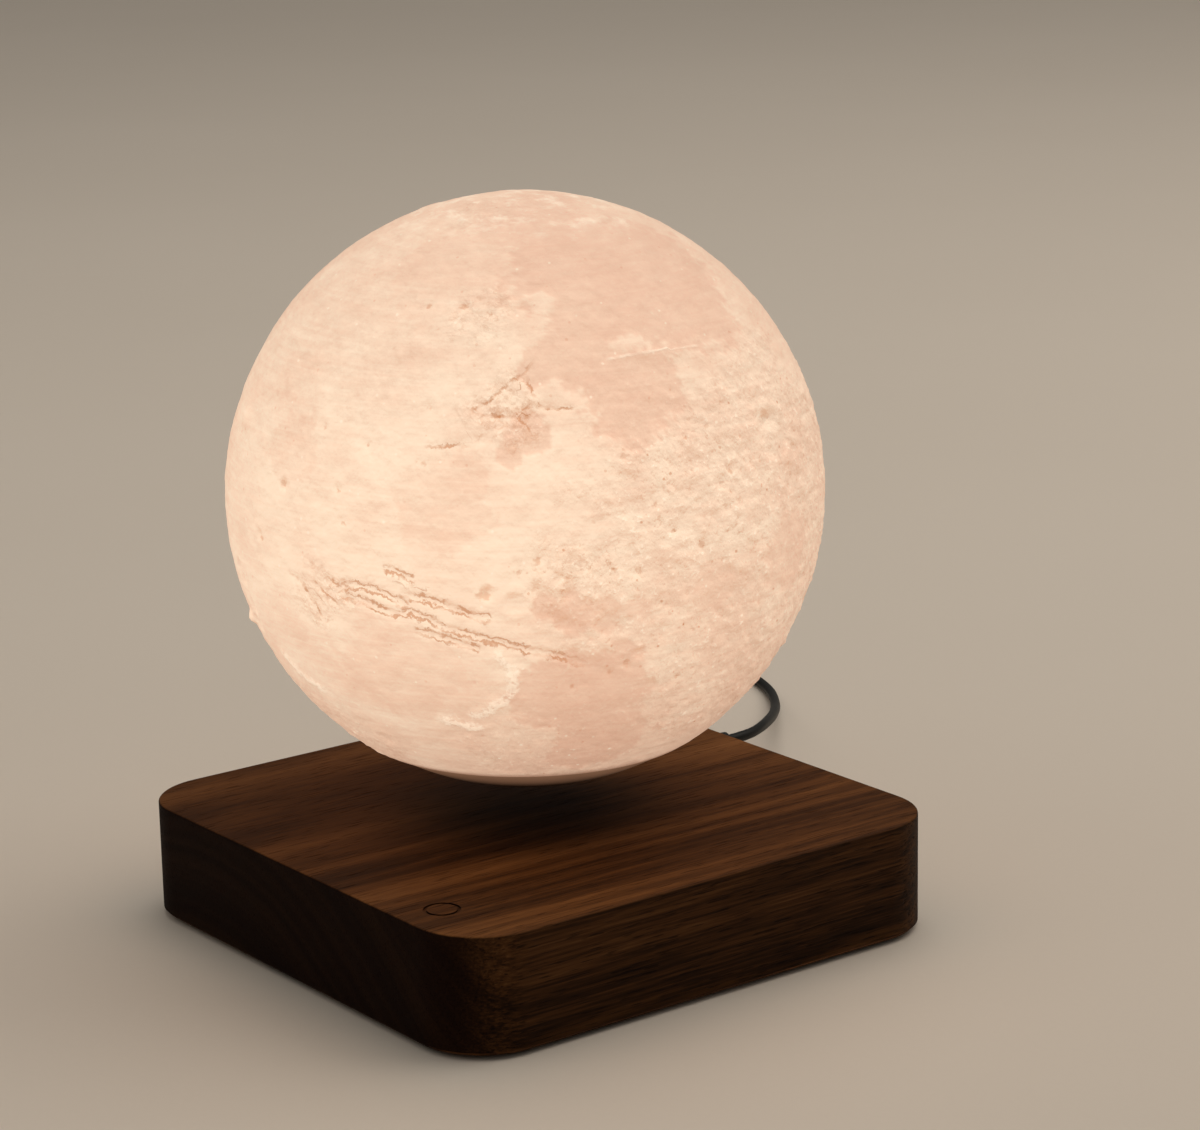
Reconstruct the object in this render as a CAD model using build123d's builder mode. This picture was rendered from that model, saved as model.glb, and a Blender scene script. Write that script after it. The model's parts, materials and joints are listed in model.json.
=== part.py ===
"""Levitating globe lamp: a lit relief globe that floats over a hollow walnut base.

Millimetres, +Z up. The origin is on the table, under the middle of the base.
-Y is the front with the touch ring, +Y the back with the power inlet.
"""

import os
from math import asin, cos, dist, pi, radians, sin, sqrt, tan

from build123d import *

os.makedirs("parts", exist_ok=True)

# Walnut base, hollowed from below
BASE_SIDE = 150.0
BASE_CORNER = 18.5
BASE_WALL = 7.0
TOP_WALL = 5.0
TOP_EASE = 0.6
BOTTOM_EASE = 0.8
CAVITY_CORNER = 30.0
COVER_LEDGE = 4.0
COVER_THICK = 3.0
COVER_GAP = 0.3
FOOT_DIAMETER = 14.0
FOOT_PROUD = 1.2
FOOT_RECESS = 1.0
FOOT_INSET = 24.0
FOOT_GAP = 0.2
FOOT_EASE = 0.5
COVER_SCREW_INSET = 13.0
COVER_SCREW_LENGTH = 14.0
COVER_SCREW_SHANK = 2.6
COVER_SCREW_HEAD = 5.4
COVER_SCREW_HEAD_HEIGHT = 1.6
SCREW_GAP = 0.15
DRIVE_SHARE = 0.6
DRIVE_WIDTH = 0.7
DRIVE_DEPTH = 0.8

# Touch ring in the top and the sensing pad under it
TOUCH_INSET_X = 25.0
TOUCH_INSET_Y = 11.5
TOUCH_RING_DIAMETER = 9.0
TOUCH_GROOVE_WIDTH = 0.8
TOUCH_GROOVE_DEPTH = 0.4
TOUCH_SKIN = 2.6
TOUCH_PAD_DIAMETER = 10.0
TOUCH_PAD_THICK = 1.6
TOUCH_PAD_GAP = 0.4

# Levitation module under the top: board, tray, magnet ring, coils
UNDER_BOARD_ROOM = 4.4
BOARD_THICK = 1.6
BOARD_CORNER = 6.0
BOARD_INSET = 2.0
CHIP_SIZE = (10.0, 10.0, 1.6)
CHOKE_DIAMETER = 9.0
CHOKE_HEIGHT = 3.6
CHOKE_SPACING = (60.0, 30.0)
DRIVER_SIZE = (5.0, 4.0, 1.5)
DRIVER_SPACING = (14.0, 28.0)
DRIVER_COLUMNS = 4
TRAY_THICK = 1.5
TRAY_CORNER = 12.0
TRAY_RIM_WIDTH = 1.8
TRAY_RIM_HEIGHT = 4.0
RING_WIDTH = 19.0
RING_HEIGHT = 10.0
RING_GAP = 0.3
RING_EASE = 0.6
RING_INNER_ROOM = 5.0
BOBBIN_DIAMETER = 22.0
BOBBIN_FLANGE = 1.2
BOBBIN_HUB = 9.0
BOBBIN_HEIGHT = 11.5
BOBBIN_SPACING = 2.0
CORE_DIAMETER = 6.0
CORE_GAP = 0.1
WINDING_INSET = 0.8
SENSOR_POST_DIAMETER = 6.0
SENSOR_POST_HEIGHT = 7.0
SENSOR_BOARD_DIAMETER = 9.0
SENSOR_BOARD_THICK = 1.0
SENSOR_SIZE = (1.4, 3.0, 3.6)
SENSOR_RADIUS = 2.4
SENSORS = 3
POST_INSET = 8.0
POST_DIAMETER = 7.0
MODULE_SCREW_SHANK = 3.0
MODULE_SCREW_HEAD = 5.6
MODULE_SCREW_HEAD_HEIGHT = 2.0
MODULE_SCREW_BITE = 3.4
FORMER_THICK = 1.0
FORMER_LIP = 1.2
FORMER_SEAT = 3.0
SENDER_COIL_WIDTH = 14.0
SENDER_COIL_HEIGHT = 2.0
SENDER_COIL_ROOM = 1.0

# Power inlet in the back of the base
JACK_INSET = 29.0
JACK_FLANGE_DIAMETER = 12.0
JACK_FLANGE_THICK = 1.6
JACK_BARREL_DIAMETER = 8.0
JACK_LENGTH = 15.0
JACK_GAP = 0.2
JACK_PANEL = 5.0
JACK_BORE_DIAMETER = 6.0
JACK_BORE_DEPTH = 10.5
JACK_PIN_DIAMETER = 2.0
JACK_PIN_LENGTH = 8.5
JACK_NUT_ACROSS = 11.0
JACK_NUT_THICK = 2.4
JACK_NUT_ROOM = 17.0
JACK_LUG_LENGTH = 4.0
JACK_LUG_WIDTH = 2.0
JACK_LUG_THICK = 0.6

# Floating globe: relief shell, cap, magnet, receiver and lights
GLOBE_DIAMETER = 150.0
SHELL_WALL = 2.0
FLOAT_GAP = 11.5
RIM_LEDGE_WIDTH = 6.3
RIM_LEDGE_THICK = 2.0
CAP_INSET = 0.6
CAP_WALL = 2.0
CAP_FLOOR = 1.5
CAP_COLLAR_WALL = 1.6
CAP_COLLAR_GAP = 0.3
CAP_RIB_WIDTH = 1.6
CAP_RIBS = 6
SNAP_REACH = 1.0
SNAP_HEIGHT = 1.4
SNAP_GAP = 0.1
SNAP_ARC = 24.0
SNAPS = 3
FLOAT_MAGNET_DIAMETER = 40.0
FLOAT_MAGNET_HEIGHT = 8.0
MAGNET_EASE = 0.5
CUP_GAP = 0.3
CUP_WALL = 1.8
CUP_RISE = 0.4
RECEIVER_COIL_WIDTH = 7.0
RECEIVER_COIL_HEIGHT = 2.0
RECEIVER_COIL_GAP = 0.5
RECEIVER_BOARD_THICK = 1.6
RECEIVER_BOARD_GAP = 0.5
RECEIVER_BOARD_RISE = 3.6
BOSS_DIAMETER = 4.8
BOSS_SINK = 0.6
BOSSES = 3
BOSS_ANGLE = 30.0
BOARD_SCREW_SHANK = 1.6
BOARD_SCREW_LENGTH = 6.0
BOARD_SCREW_HEAD = 3.4
BOARD_SCREW_HEAD_HEIGHT = 1.3
RECTIFIER_SIZE = (5.0, 4.0, 1.6)
RECTIFIER_ANGLE = 75.0
CAPACITOR_DIAMETER = 5.0
CAPACITOR_HEIGHT = 6.5
CAPACITOR_ANGLE = 105.0
RECEIVER_PART_CIRCLE = 22.5
RECEIVER_PARTS = 3
LIGHT_SIZE = 3.5
LIGHT_HEIGHT = 1.4
LIGHT_CIRCLE = 13.0
LIGHTS = 8

# Power lead: plug, cord, stored coil, wall adapter
CORD_DIAMETER = 3.0
PLUG_TIP_DIAMETER = 5.5
PLUG_TIP_BORE = 2.5
PLUG_TIP_LENGTH = 9.5
PLUG_GRIP_DIAMETER = 10.0
PLUG_GRIP_LENGTH = 12.0
PLUG_GRIP_EASE = 1.2
RELIEF_LENGTH = 14.0
RELIEF_END_DIAMETER = 5.0
RELIEF_GROOVES = 3
RELIEF_GROOVE_WIDTH = 1.4
RELIEF_GROOVE_DEPTH = 0.7
LOOP_GAP = 1.1
LOOP_MIDDLE_RADIUS = 17.0
LOOP_HALF_TURNS = 4
LOOP_LAYERS = 4
COIL_SAMPLES = 900
TIE_THICK = 1.0
TIE_WIDTH = 6.0
TIE_GAP = 0.4
BEND_SHARE = 0.45
ADAPTER_LENGTH = 52.0
ADAPTER_WIDTH = 34.0
ADAPTER_HEIGHT = 28.0
ADAPTER_CORNER = 4.0
ADAPTER_EASE = 2.0
ADAPTER_SEAM = 0.6
ADAPTER_SEAM_DROP = 6.0
ADAPTER_RELIEF_LENGTH = 12.0
ADAPTER_RELIEF_DIAMETER = 7.0
BLADE_WIDTH = 6.35
BLADE_THICK = 1.5
BLADE_LENGTH = 17.0
BLADE_SPACING = 12.7
BLADE_INSET = 16.0
BLADE_ROOT = 3.0
BLADE_TIP_EASE = 1.5
BLADE_HOLE = 3.2
BLADE_HOLE_RISE = 11.7

# The cord's route: places sideways and back from the plug's end, heights over the table
FREE_FIRST_RUN = 8.0
FREE_ROUTE = (
    (-4.8, 16.6, 15.3),
    (-13.2, 26.2, 13.3),
    (-24.6, 37.6, 10.0),
    (-38.2, 50.2, 6.3),
    (-53.0, 62.6, 3.3),
    (-69.0, 73.4, 1.7),
    (-86.0, 79.2, 1.5),
    (-103.0, 78.0, 1.5),
    (-116.5, 71.8, 1.6),
    (-125.0, 62.5, 2.3),
)
FREE_LAST_RUN = 8.5
COIL_START = (-129.0, 44.0)
TAIL_FIRST_RUN = 9.5
TAIL_ROUTE = (
    (-128.4, 23.0, 14.2),
    (-128.5, 10.5, 14.0),
    (-126.8, -0.6, 13.9),
    (-123.8, -7.0, 13.9),
    (-119.0, -11.6, 13.9),
)
TAIL_LAST_RUN = 6.4
TAIL_END = (-106.5, -14.0)

# How a box or cylinder stands on the plane it is placed on
STANDING = (Align.CENTER, Align.CENTER, Align.MIN)

# Heights in the base, from the table up
wood_bottom = FOOT_PROUD
cover_top = wood_bottom + COVER_THICK
board_bottom = cover_top + UNDER_BOARD_ROOM
tray_bottom = board_bottom + BOARD_THICK
tray_top = tray_bottom + TRAY_THICK
ring_top = tray_top + RING_HEIGHT
former_top = ring_top + FORMER_THICK
sender_top = former_top + SENDER_COIL_HEIGHT
cavity_top = sender_top + SENDER_COIL_ROOM
wood_top = cavity_top + TOP_WALL
wood_height = wood_top - wood_bottom
base_back = BASE_SIDE / 2

# Plan sizes in the base, from the middle out
bobbin_offset = (BOBBIN_DIAMETER + BOBBIN_SPACING) / 2
ring_inner = bobbin_offset * sqrt(2) + BOBBIN_DIAMETER / 2 + RING_INNER_ROOM
ring_outer = ring_inner + RING_WIDTH
tray_side = 2 * (ring_outer + RING_GAP + TRAY_RIM_WIDTH)
post_pitch = tray_side - 2 * POST_INSET
rebate_side = BASE_SIDE - 2 * COVER_LEDGE
rebate_corner = BASE_CORNER - COVER_LEDGE
cover_side = rebate_side - 2 * COVER_GAP
cavity_side = BASE_SIDE - 2 * BASE_WALL
cover_screw_pitch = BASE_SIDE - 2 * COVER_SCREW_INSET
foot_pitch = BASE_SIDE - 2 * FOOT_INSET
touch_x = BASE_SIDE / 2 - TOUCH_INSET_X
touch_y = TOUCH_INSET_Y - BASE_SIDE / 2
touch_ceiling = wood_top - TOUCH_SKIN
jack_x = JACK_INSET - BASE_SIDE / 2
jack_z = wood_bottom + wood_height / 2

# Radii in the floating globe, from the magnet out
globe_radius = GLOBE_DIAMETER / 2
cup_inner = FLOAT_MAGNET_DIAMETER / 2 + CUP_GAP
cup_outer = cup_inner + CUP_WALL
receiver_coil_inner = cup_outer + RECEIVER_COIL_GAP
receiver_coil_outer = receiver_coil_inner + RECEIVER_COIL_WIDTH
boss_circle = receiver_coil_outer + RECEIVER_COIL_GAP + BOSS_DIAMETER / 2
collar_inner = boss_circle + BOSS_DIAMETER / 2 - BOSS_SINK
collar_outer = collar_inner + CAP_COLLAR_WALL
opening_radius = collar_outer + CAP_COLLAR_GAP
rim_radius = opening_radius + RIM_LEDGE_WIDTH
cap_radius = globe_radius - CAP_INSET
cap_inside = cap_radius - CAP_WALL


def below_middle(radius, across):
    """How far under the globe's middle a sphere of that radius is, at a distance from its axis."""
    return sqrt(radius**2 - across**2)


# Heights in the floating globe, all from its middle
globe_middle = wood_top + FLOAT_GAP + below_middle(cap_radius, cup_outer)
cap_bottom = wood_top + FLOAT_GAP
magnet_bottom = cap_bottom + CAP_FLOOR
magnet_top = magnet_bottom + FLOAT_MAGNET_HEIGHT
cup_top = magnet_top + CUP_RISE
rim_height = globe_middle - below_middle(globe_radius, rim_radius)
ledge_top = rim_height + RIM_LEDGE_THICK
collar_top = cup_top + RECEIVER_BOARD_RISE
receiver_coil_bottom = cup_top - RECEIVER_COIL_HEIGHT
receiver_board_top = collar_top + RECEIVER_BOARD_THICK


def arc_point(radius, angle):
    """A point of the globe's section, at an angle up from its middle plane."""
    return (radius * cos(angle), globe_middle + radius * sin(angle))


def upright(x, y, z, along):
    """A plane at a point, with its normal along a direction in plan and its local Y up."""
    level = (-along[1], along[0], 0)
    return Plane(origin=(x, y, z), x_dir=level, z_dir=along)


def cross(head_diameter):
    """The cross that a screwdriver turns a head by."""
    Rectangle(DRIVE_SHARE * head_diameter, DRIVE_WIDTH)
    Rectangle(DRIVE_WIDTH, DRIVE_SHARE * head_diameter)


# The pocketed walnut block
with BuildPart() as base_housing:
    with BuildSketch(Plane.XY.offset(wood_bottom)):
        RectangleRounded(BASE_SIDE, BASE_SIDE, BASE_CORNER)
    extrude(amount=wood_height)
    fillet(base_housing.faces().sort_by(Axis.Z)[-1].edges(), TOP_EASE)
    chamfer(base_housing.faces().sort_by(Axis.Z)[0].edges(), BOTTOM_EASE)
    with BuildSketch(Plane.XY.offset(wood_bottom)):
        RectangleRounded(cavity_side, cavity_side, CAVITY_CORNER)
    extrude(amount=cavity_top - wood_bottom, mode=Mode.SUBTRACT)
    with BuildSketch(Plane.XY.offset(wood_bottom)):
        RectangleRounded(rebate_side, rebate_side, rebate_corner)
    extrude(amount=COVER_THICK, mode=Mode.SUBTRACT)
    with Locations(Plane(origin=(0, 0, cover_top), z_dir=(0, 0, -1))):
        with GridLocations(cover_screw_pitch, cover_screw_pitch, 2, 2):
            Hole(COVER_SCREW_SHANK / 2 + SCREW_GAP, depth=COVER_SCREW_LENGTH)
    with Locations(Plane(origin=(0, 0, cavity_top), z_dir=(0, 0, -1))):
        with GridLocations(post_pitch, post_pitch, 2, 2):
            Hole(MODULE_SCREW_SHANK / 2 + SCREW_GAP, depth=MODULE_SCREW_BITE + SCREW_GAP)
    with BuildSketch(Plane.XY.offset(wood_bottom)):
        with Locations((touch_x, touch_y)):
            Circle(TOUCH_PAD_DIAMETER / 2 + TOUCH_PAD_GAP)
    extrude(amount=touch_ceiling - wood_bottom, mode=Mode.SUBTRACT)
    with BuildSketch(Plane.XY.offset(wood_top)):
        with Locations((touch_x, touch_y)):
            Circle(TOUCH_RING_DIAMETER / 2)
            Circle(TOUCH_RING_DIAMETER / 2 - TOUCH_GROOVE_WIDTH, mode=Mode.SUBTRACT)
    extrude(amount=-TOUCH_GROOVE_DEPTH, mode=Mode.SUBTRACT)
    inlet_face = upright(jack_x, base_back, jack_z, (0, 1, 0))
    with BuildSketch(inlet_face):
        Circle(JACK_FLANGE_DIAMETER / 2 + JACK_GAP)
    extrude(amount=-JACK_FLANGE_THICK, mode=Mode.SUBTRACT)
    with BuildSketch(inlet_face):
        Circle(JACK_BARREL_DIAMETER / 2 + JACK_GAP)
    extrude(amount=-2 * BASE_WALL, mode=Mode.SUBTRACT)
    with BuildSketch(inlet_face.offset(-JACK_PANEL)):
        Circle(JACK_NUT_ROOM / 2)
    extrude(amount=-JACK_LENGTH, mode=Mode.SUBTRACT)
base_housing.part.label = "base_housing"
export_step(base_housing.part, "parts/base_housing.step")

# The cover plate in the rebate under the base
with BuildPart() as base_cover:
    with BuildSketch(Plane.XY.offset(wood_bottom)):
        RectangleRounded(cover_side, cover_side, rebate_corner - COVER_GAP)
    extrude(amount=COVER_THICK)
    with Locations(Plane(origin=(0, 0, wood_bottom), z_dir=(0, 0, -1))):
        with GridLocations(foot_pitch, foot_pitch, 2, 2):
            Hole(FOOT_DIAMETER / 2 + FOOT_GAP, depth=FOOT_RECESS)
        with GridLocations(cover_screw_pitch, cover_screw_pitch, 2, 2):
            CounterBoreHole(
                COVER_SCREW_SHANK / 2 + SCREW_GAP,
                COVER_SCREW_HEAD / 2 + SCREW_GAP,
                COVER_SCREW_HEAD_HEIGHT,
                depth=COVER_THICK,
            )
base_cover.part.label = "base_cover"
export_step(base_cover.part, "parts/base_cover.step")

# Four rubber feet, four cover screws
with BuildPart() as base_feet:
    with GridLocations(foot_pitch, foot_pitch, 2, 2):
        Cylinder(FOOT_DIAMETER / 2, FOOT_PROUD + FOOT_RECESS, align=STANDING)
    fillet(base_feet.edges().group_by(Axis.Z)[0], FOOT_EASE)
base_feet.part.label = "base_feet"
export_step(base_feet.part, "parts/base_feet.step")

with BuildPart() as cover_screws:
    with BuildSketch(Plane.XY.offset(wood_bottom)):
        with GridLocations(cover_screw_pitch, cover_screw_pitch, 2, 2):
            Circle(COVER_SCREW_HEAD / 2)
    extrude(amount=COVER_SCREW_HEAD_HEIGHT)
    with BuildSketch(Plane.XY.offset(wood_bottom)):
        with GridLocations(cover_screw_pitch, cover_screw_pitch, 2, 2):
            Circle(COVER_SCREW_SHANK / 2)
    extrude(amount=COVER_SCREW_LENGTH)
    with BuildSketch(Plane.XY.offset(wood_bottom)):
        with GridLocations(cover_screw_pitch, cover_screw_pitch, 2, 2):
            cross(COVER_SCREW_HEAD)
    extrude(amount=DRIVE_DEPTH, mode=Mode.SUBTRACT)
cover_screws.part.label = "cover_screws"
export_step(cover_screws.part, "parts/cover_screws.step")

# The sensing pad glued under the touch ring
with BuildPart() as touch_pad:
    with BuildSketch(Plane.XY.offset(touch_ceiling)):
        with Locations((touch_x, touch_y)):
            Circle(TOUCH_PAD_DIAMETER / 2)
    extrude(amount=-TOUCH_PAD_THICK)
touch_pad.part.label = "touch_pad"
export_step(touch_pad.part, "parts/touch_pad.step")

# Control board, with its parts hanging under it
board_side = tray_side - 2 * BOARD_INSET
with BuildPart() as control_board:
    with BuildSketch(Plane.XY.offset(board_bottom)):
        RectangleRounded(board_side, board_side, BOARD_CORNER)
        with GridLocations(post_pitch, post_pitch, 2, 2):
            Circle(MODULE_SCREW_SHANK / 2 + SCREW_GAP, mode=Mode.SUBTRACT)
    extrude(amount=BOARD_THICK)
control_board.part.label = "control_board"
export_step(control_board.part, "parts/control_board.step")

with BuildPart() as board_parts:
    with Locations(Plane(origin=(0, 0, board_bottom), z_dir=(0, 0, -1))):
        Box(*CHIP_SIZE, align=STANDING)
        with GridLocations(*CHOKE_SPACING, 2, 2):
            Cylinder(CHOKE_DIAMETER / 2, CHOKE_HEIGHT, align=STANDING)
        with GridLocations(*DRIVER_SPACING, DRIVER_COLUMNS, 2):
            Box(*DRIVER_SIZE, align=STANDING)
board_parts.part.label = "board_parts"
export_step(board_parts.part, "parts/board_parts.step")

# The moulded tray that carries the magnet ring and coils and hangs on four posts
with BuildPart() as module_tray:
    with BuildSketch(Plane.XY.offset(tray_bottom)):
        RectangleRounded(tray_side, tray_side, TRAY_CORNER)
    extrude(amount=TRAY_THICK)
    with BuildSketch(Plane.XY.offset(tray_top)):
        Circle(ring_outer + RING_GAP + TRAY_RIM_WIDTH)
        Circle(ring_outer + RING_GAP, mode=Mode.SUBTRACT)
    extrude(amount=TRAY_RIM_HEIGHT)
    with BuildSketch(Plane.XY.offset(tray_top)):
        with GridLocations(post_pitch, post_pitch, 2, 2):
            Circle(POST_DIAMETER / 2)
    extrude(amount=cavity_top - tray_top)
    with BuildSketch(Plane.XY.offset(tray_top)):
        Circle(SENSOR_POST_DIAMETER / 2)
    extrude(amount=SENSOR_POST_HEIGHT)
    with Locations(Plane.XY.offset(cavity_top)):
        with GridLocations(post_pitch, post_pitch, 2, 2):
            Hole(MODULE_SCREW_SHANK / 2 + SCREW_GAP, depth=cavity_top - tray_bottom)
module_tray.part.label = "module_tray"
export_step(module_tray.part, "parts/module_tray.step")

with BuildPart() as module_screws:
    with BuildSketch(Plane.XY.offset(board_bottom)):
        with GridLocations(post_pitch, post_pitch, 2, 2):
            Circle(MODULE_SCREW_HEAD / 2)
    extrude(amount=-MODULE_SCREW_HEAD_HEIGHT)
    with BuildSketch(Plane.XY.offset(board_bottom)):
        with GridLocations(post_pitch, post_pitch, 2, 2):
            Circle(MODULE_SCREW_SHANK / 2)
    extrude(amount=cavity_top + MODULE_SCREW_BITE - board_bottom)
    with BuildSketch(Plane.XY.offset(board_bottom - MODULE_SCREW_HEAD_HEIGHT)):
        with GridLocations(post_pitch, post_pitch, 2, 2):
            cross(MODULE_SCREW_HEAD)
    extrude(amount=DRIVE_DEPTH, mode=Mode.SUBTRACT)
module_screws.part.label = "module_screws"
export_step(module_screws.part, "parts/module_screws.step")

# The permanent magnet ring that pushes the globe up
with BuildPart() as ring_magnet:
    with BuildSketch(Plane.XY.offset(tray_top)):
        Circle(ring_outer)
        Circle(ring_inner, mode=Mode.SUBTRACT)
    extrude(amount=RING_HEIGHT)
    chamfer(ring_magnet.edges(), RING_EASE)
ring_magnet.part.label = "ring_magnet"
export_step(ring_magnet.part, "parts/ring_magnet.step")

# Four steering coils: bobbins, copper windings and iron cores
with BuildPart() as coil_bobbins:
    with BuildSketch(Plane.XY.offset(tray_top)):
        with GridLocations(2 * bobbin_offset, 2 * bobbin_offset, 2, 2):
            Circle(BOBBIN_HUB / 2)
    extrude(amount=BOBBIN_HEIGHT)
    for flange_bottom in (tray_top, tray_top + BOBBIN_HEIGHT - BOBBIN_FLANGE):
        with BuildSketch(Plane.XY.offset(flange_bottom)):
            with GridLocations(2 * bobbin_offset, 2 * bobbin_offset, 2, 2):
                Circle(BOBBIN_DIAMETER / 2)
        extrude(amount=BOBBIN_FLANGE)
    with Locations(Plane.XY.offset(tray_top + BOBBIN_HEIGHT)):
        with GridLocations(2 * bobbin_offset, 2 * bobbin_offset, 2, 2):
            Hole(CORE_DIAMETER / 2 + CORE_GAP, depth=BOBBIN_HEIGHT)
coil_bobbins.part.label = "coil_bobbins"
export_step(coil_bobbins.part, "parts/coil_bobbins.step")

with BuildPart() as coil_windings:
    with BuildSketch(Plane.XY.offset(tray_top + BOBBIN_FLANGE)):
        with GridLocations(2 * bobbin_offset, 2 * bobbin_offset, 2, 2):
            Circle(BOBBIN_DIAMETER / 2 - WINDING_INSET)
            Circle(BOBBIN_HUB / 2, mode=Mode.SUBTRACT)
    extrude(amount=BOBBIN_HEIGHT - 2 * BOBBIN_FLANGE)
coil_windings.part.label = "coil_windings"
export_step(coil_windings.part, "parts/coil_windings.step")

with BuildPart() as coil_cores:
    with BuildSketch(Plane.XY.offset(tray_top)):
        with GridLocations(2 * bobbin_offset, 2 * bobbin_offset, 2, 2):
            Circle(CORE_DIAMETER / 2)
    extrude(amount=BOBBIN_HEIGHT)
coil_cores.part.label = "coil_cores"
export_step(coil_cores.part, "parts/coil_cores.step")

# Position sensors on the middle post
sensor_board_bottom = tray_top + SENSOR_POST_HEIGHT
with BuildPart() as sensor_board:
    with BuildSketch(Plane.XY.offset(sensor_board_bottom)):
        Circle(SENSOR_BOARD_DIAMETER / 2)
    extrude(amount=SENSOR_BOARD_THICK)
sensor_board.part.label = "sensor_board"
export_step(sensor_board.part, "parts/sensor_board.step")

with BuildPart() as hall_sensors:
    with Locations(Plane.XY.offset(sensor_board_bottom + SENSOR_BOARD_THICK)):
        with PolarLocations(SENSOR_RADIUS, SENSORS, start_angle=90):
            Box(*SENSOR_SIZE, align=STANDING)
hall_sensors.part.label = "hall_sensors"
export_step(hall_sensors.part, "parts/hall_sensors.step")

# The flat coil that sends power up to the globe, on its former over the magnet ring
sender_outer = ring_outer - FORMER_LIP
sender_inner = sender_outer - SENDER_COIL_WIDTH
with BuildPart() as sender_former:
    with BuildSketch(Plane.XY.offset(ring_top)):
        Circle(ring_outer)
        Circle(sender_inner - FORMER_SEAT, mode=Mode.SUBTRACT)
    extrude(amount=FORMER_THICK)
    with BuildSketch(Plane.XY.offset(former_top)):
        Circle(ring_outer)
        Circle(sender_outer, mode=Mode.SUBTRACT)
    extrude(amount=SENDER_COIL_HEIGHT)
sender_former.part.label = "sender_former"
export_step(sender_former.part, "parts/sender_former.step")

with BuildPart() as sender_coil:
    with BuildSketch(Plane.XY.offset(former_top)):
        Circle(sender_outer)
        Circle(sender_inner, mode=Mode.SUBTRACT)
    extrude(amount=SENDER_COIL_HEIGHT)
sender_coil.part.label = "sender_coil"
export_step(sender_coil.part, "parts/sender_coil.step")

# Power inlet: flanged jack with its contact pin and lugs, and the nut behind the wood
with BuildPart() as dc_jack:
    with BuildSketch(inlet_face):
        Circle(JACK_FLANGE_DIAMETER / 2)
    extrude(amount=-JACK_FLANGE_THICK)
    with BuildSketch(inlet_face):
        Circle(JACK_BARREL_DIAMETER / 2)
    extrude(amount=-JACK_LENGTH)
    with BuildSketch(inlet_face.offset(-JACK_LENGTH)):
        with GridLocations(JACK_BARREL_DIAMETER / 2, 0, 2, 1):
            Rectangle(JACK_LUG_WIDTH, JACK_LUG_THICK)
    extrude(amount=-JACK_LUG_LENGTH)
    with BuildSketch(inlet_face):
        Circle(JACK_BORE_DIAMETER / 2)
        Circle(JACK_PIN_DIAMETER / 2, mode=Mode.SUBTRACT)
    extrude(amount=-JACK_BORE_DEPTH, mode=Mode.SUBTRACT)
    with BuildSketch(inlet_face):
        Circle(JACK_PIN_DIAMETER / 2)
    extrude(amount=JACK_PIN_LENGTH - JACK_BORE_DEPTH, mode=Mode.SUBTRACT)
dc_jack.part.label = "dc_jack"
export_step(dc_jack.part, "parts/dc_jack.step")

with BuildPart() as jack_nut:
    with BuildSketch(inlet_face.offset(-JACK_PANEL)):
        RegularPolygon(JACK_NUT_ACROSS / 2, 6, major_radius=False)
        Circle(JACK_BARREL_DIAMETER / 2 + JACK_GAP, mode=Mode.SUBTRACT)
    extrude(amount=-JACK_NUT_THICK)
jack_nut.part.label = "jack_nut"
export_step(jack_nut.part, "parts/jack_nut.step")

# The relief shell, a hollow globe with a ledge round its lower opening
shell_inside = globe_radius - SHELL_WALL
rim_angle = -asin((globe_middle - rim_height) / globe_radius)
ledge_angle = -asin((globe_middle - ledge_top) / shell_inside)
with BuildPart() as globe_shell:
    with BuildSketch(Plane.XZ):
        with BuildLine():
            ThreePointArc(
                arc_point(globe_radius, pi / 2),
                arc_point(globe_radius, (pi / 2 + rim_angle) / 2),
                arc_point(globe_radius, rim_angle),
            )
            Polyline(
                arc_point(globe_radius, rim_angle),
                (opening_radius, rim_height),
                (opening_radius, ledge_top),
                arc_point(shell_inside, ledge_angle),
            )
            ThreePointArc(
                arc_point(shell_inside, ledge_angle),
                arc_point(shell_inside, (pi / 2 + ledge_angle) / 2),
                arc_point(shell_inside, pi / 2),
            )
            Line(arc_point(shell_inside, pi / 2), arc_point(globe_radius, pi / 2))
        make_face()
    revolve(axis=Axis.Z)
globe_shell.part.label = "globe_shell"
export_step(globe_shell.part, "parts/globe_shell.step")

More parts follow.
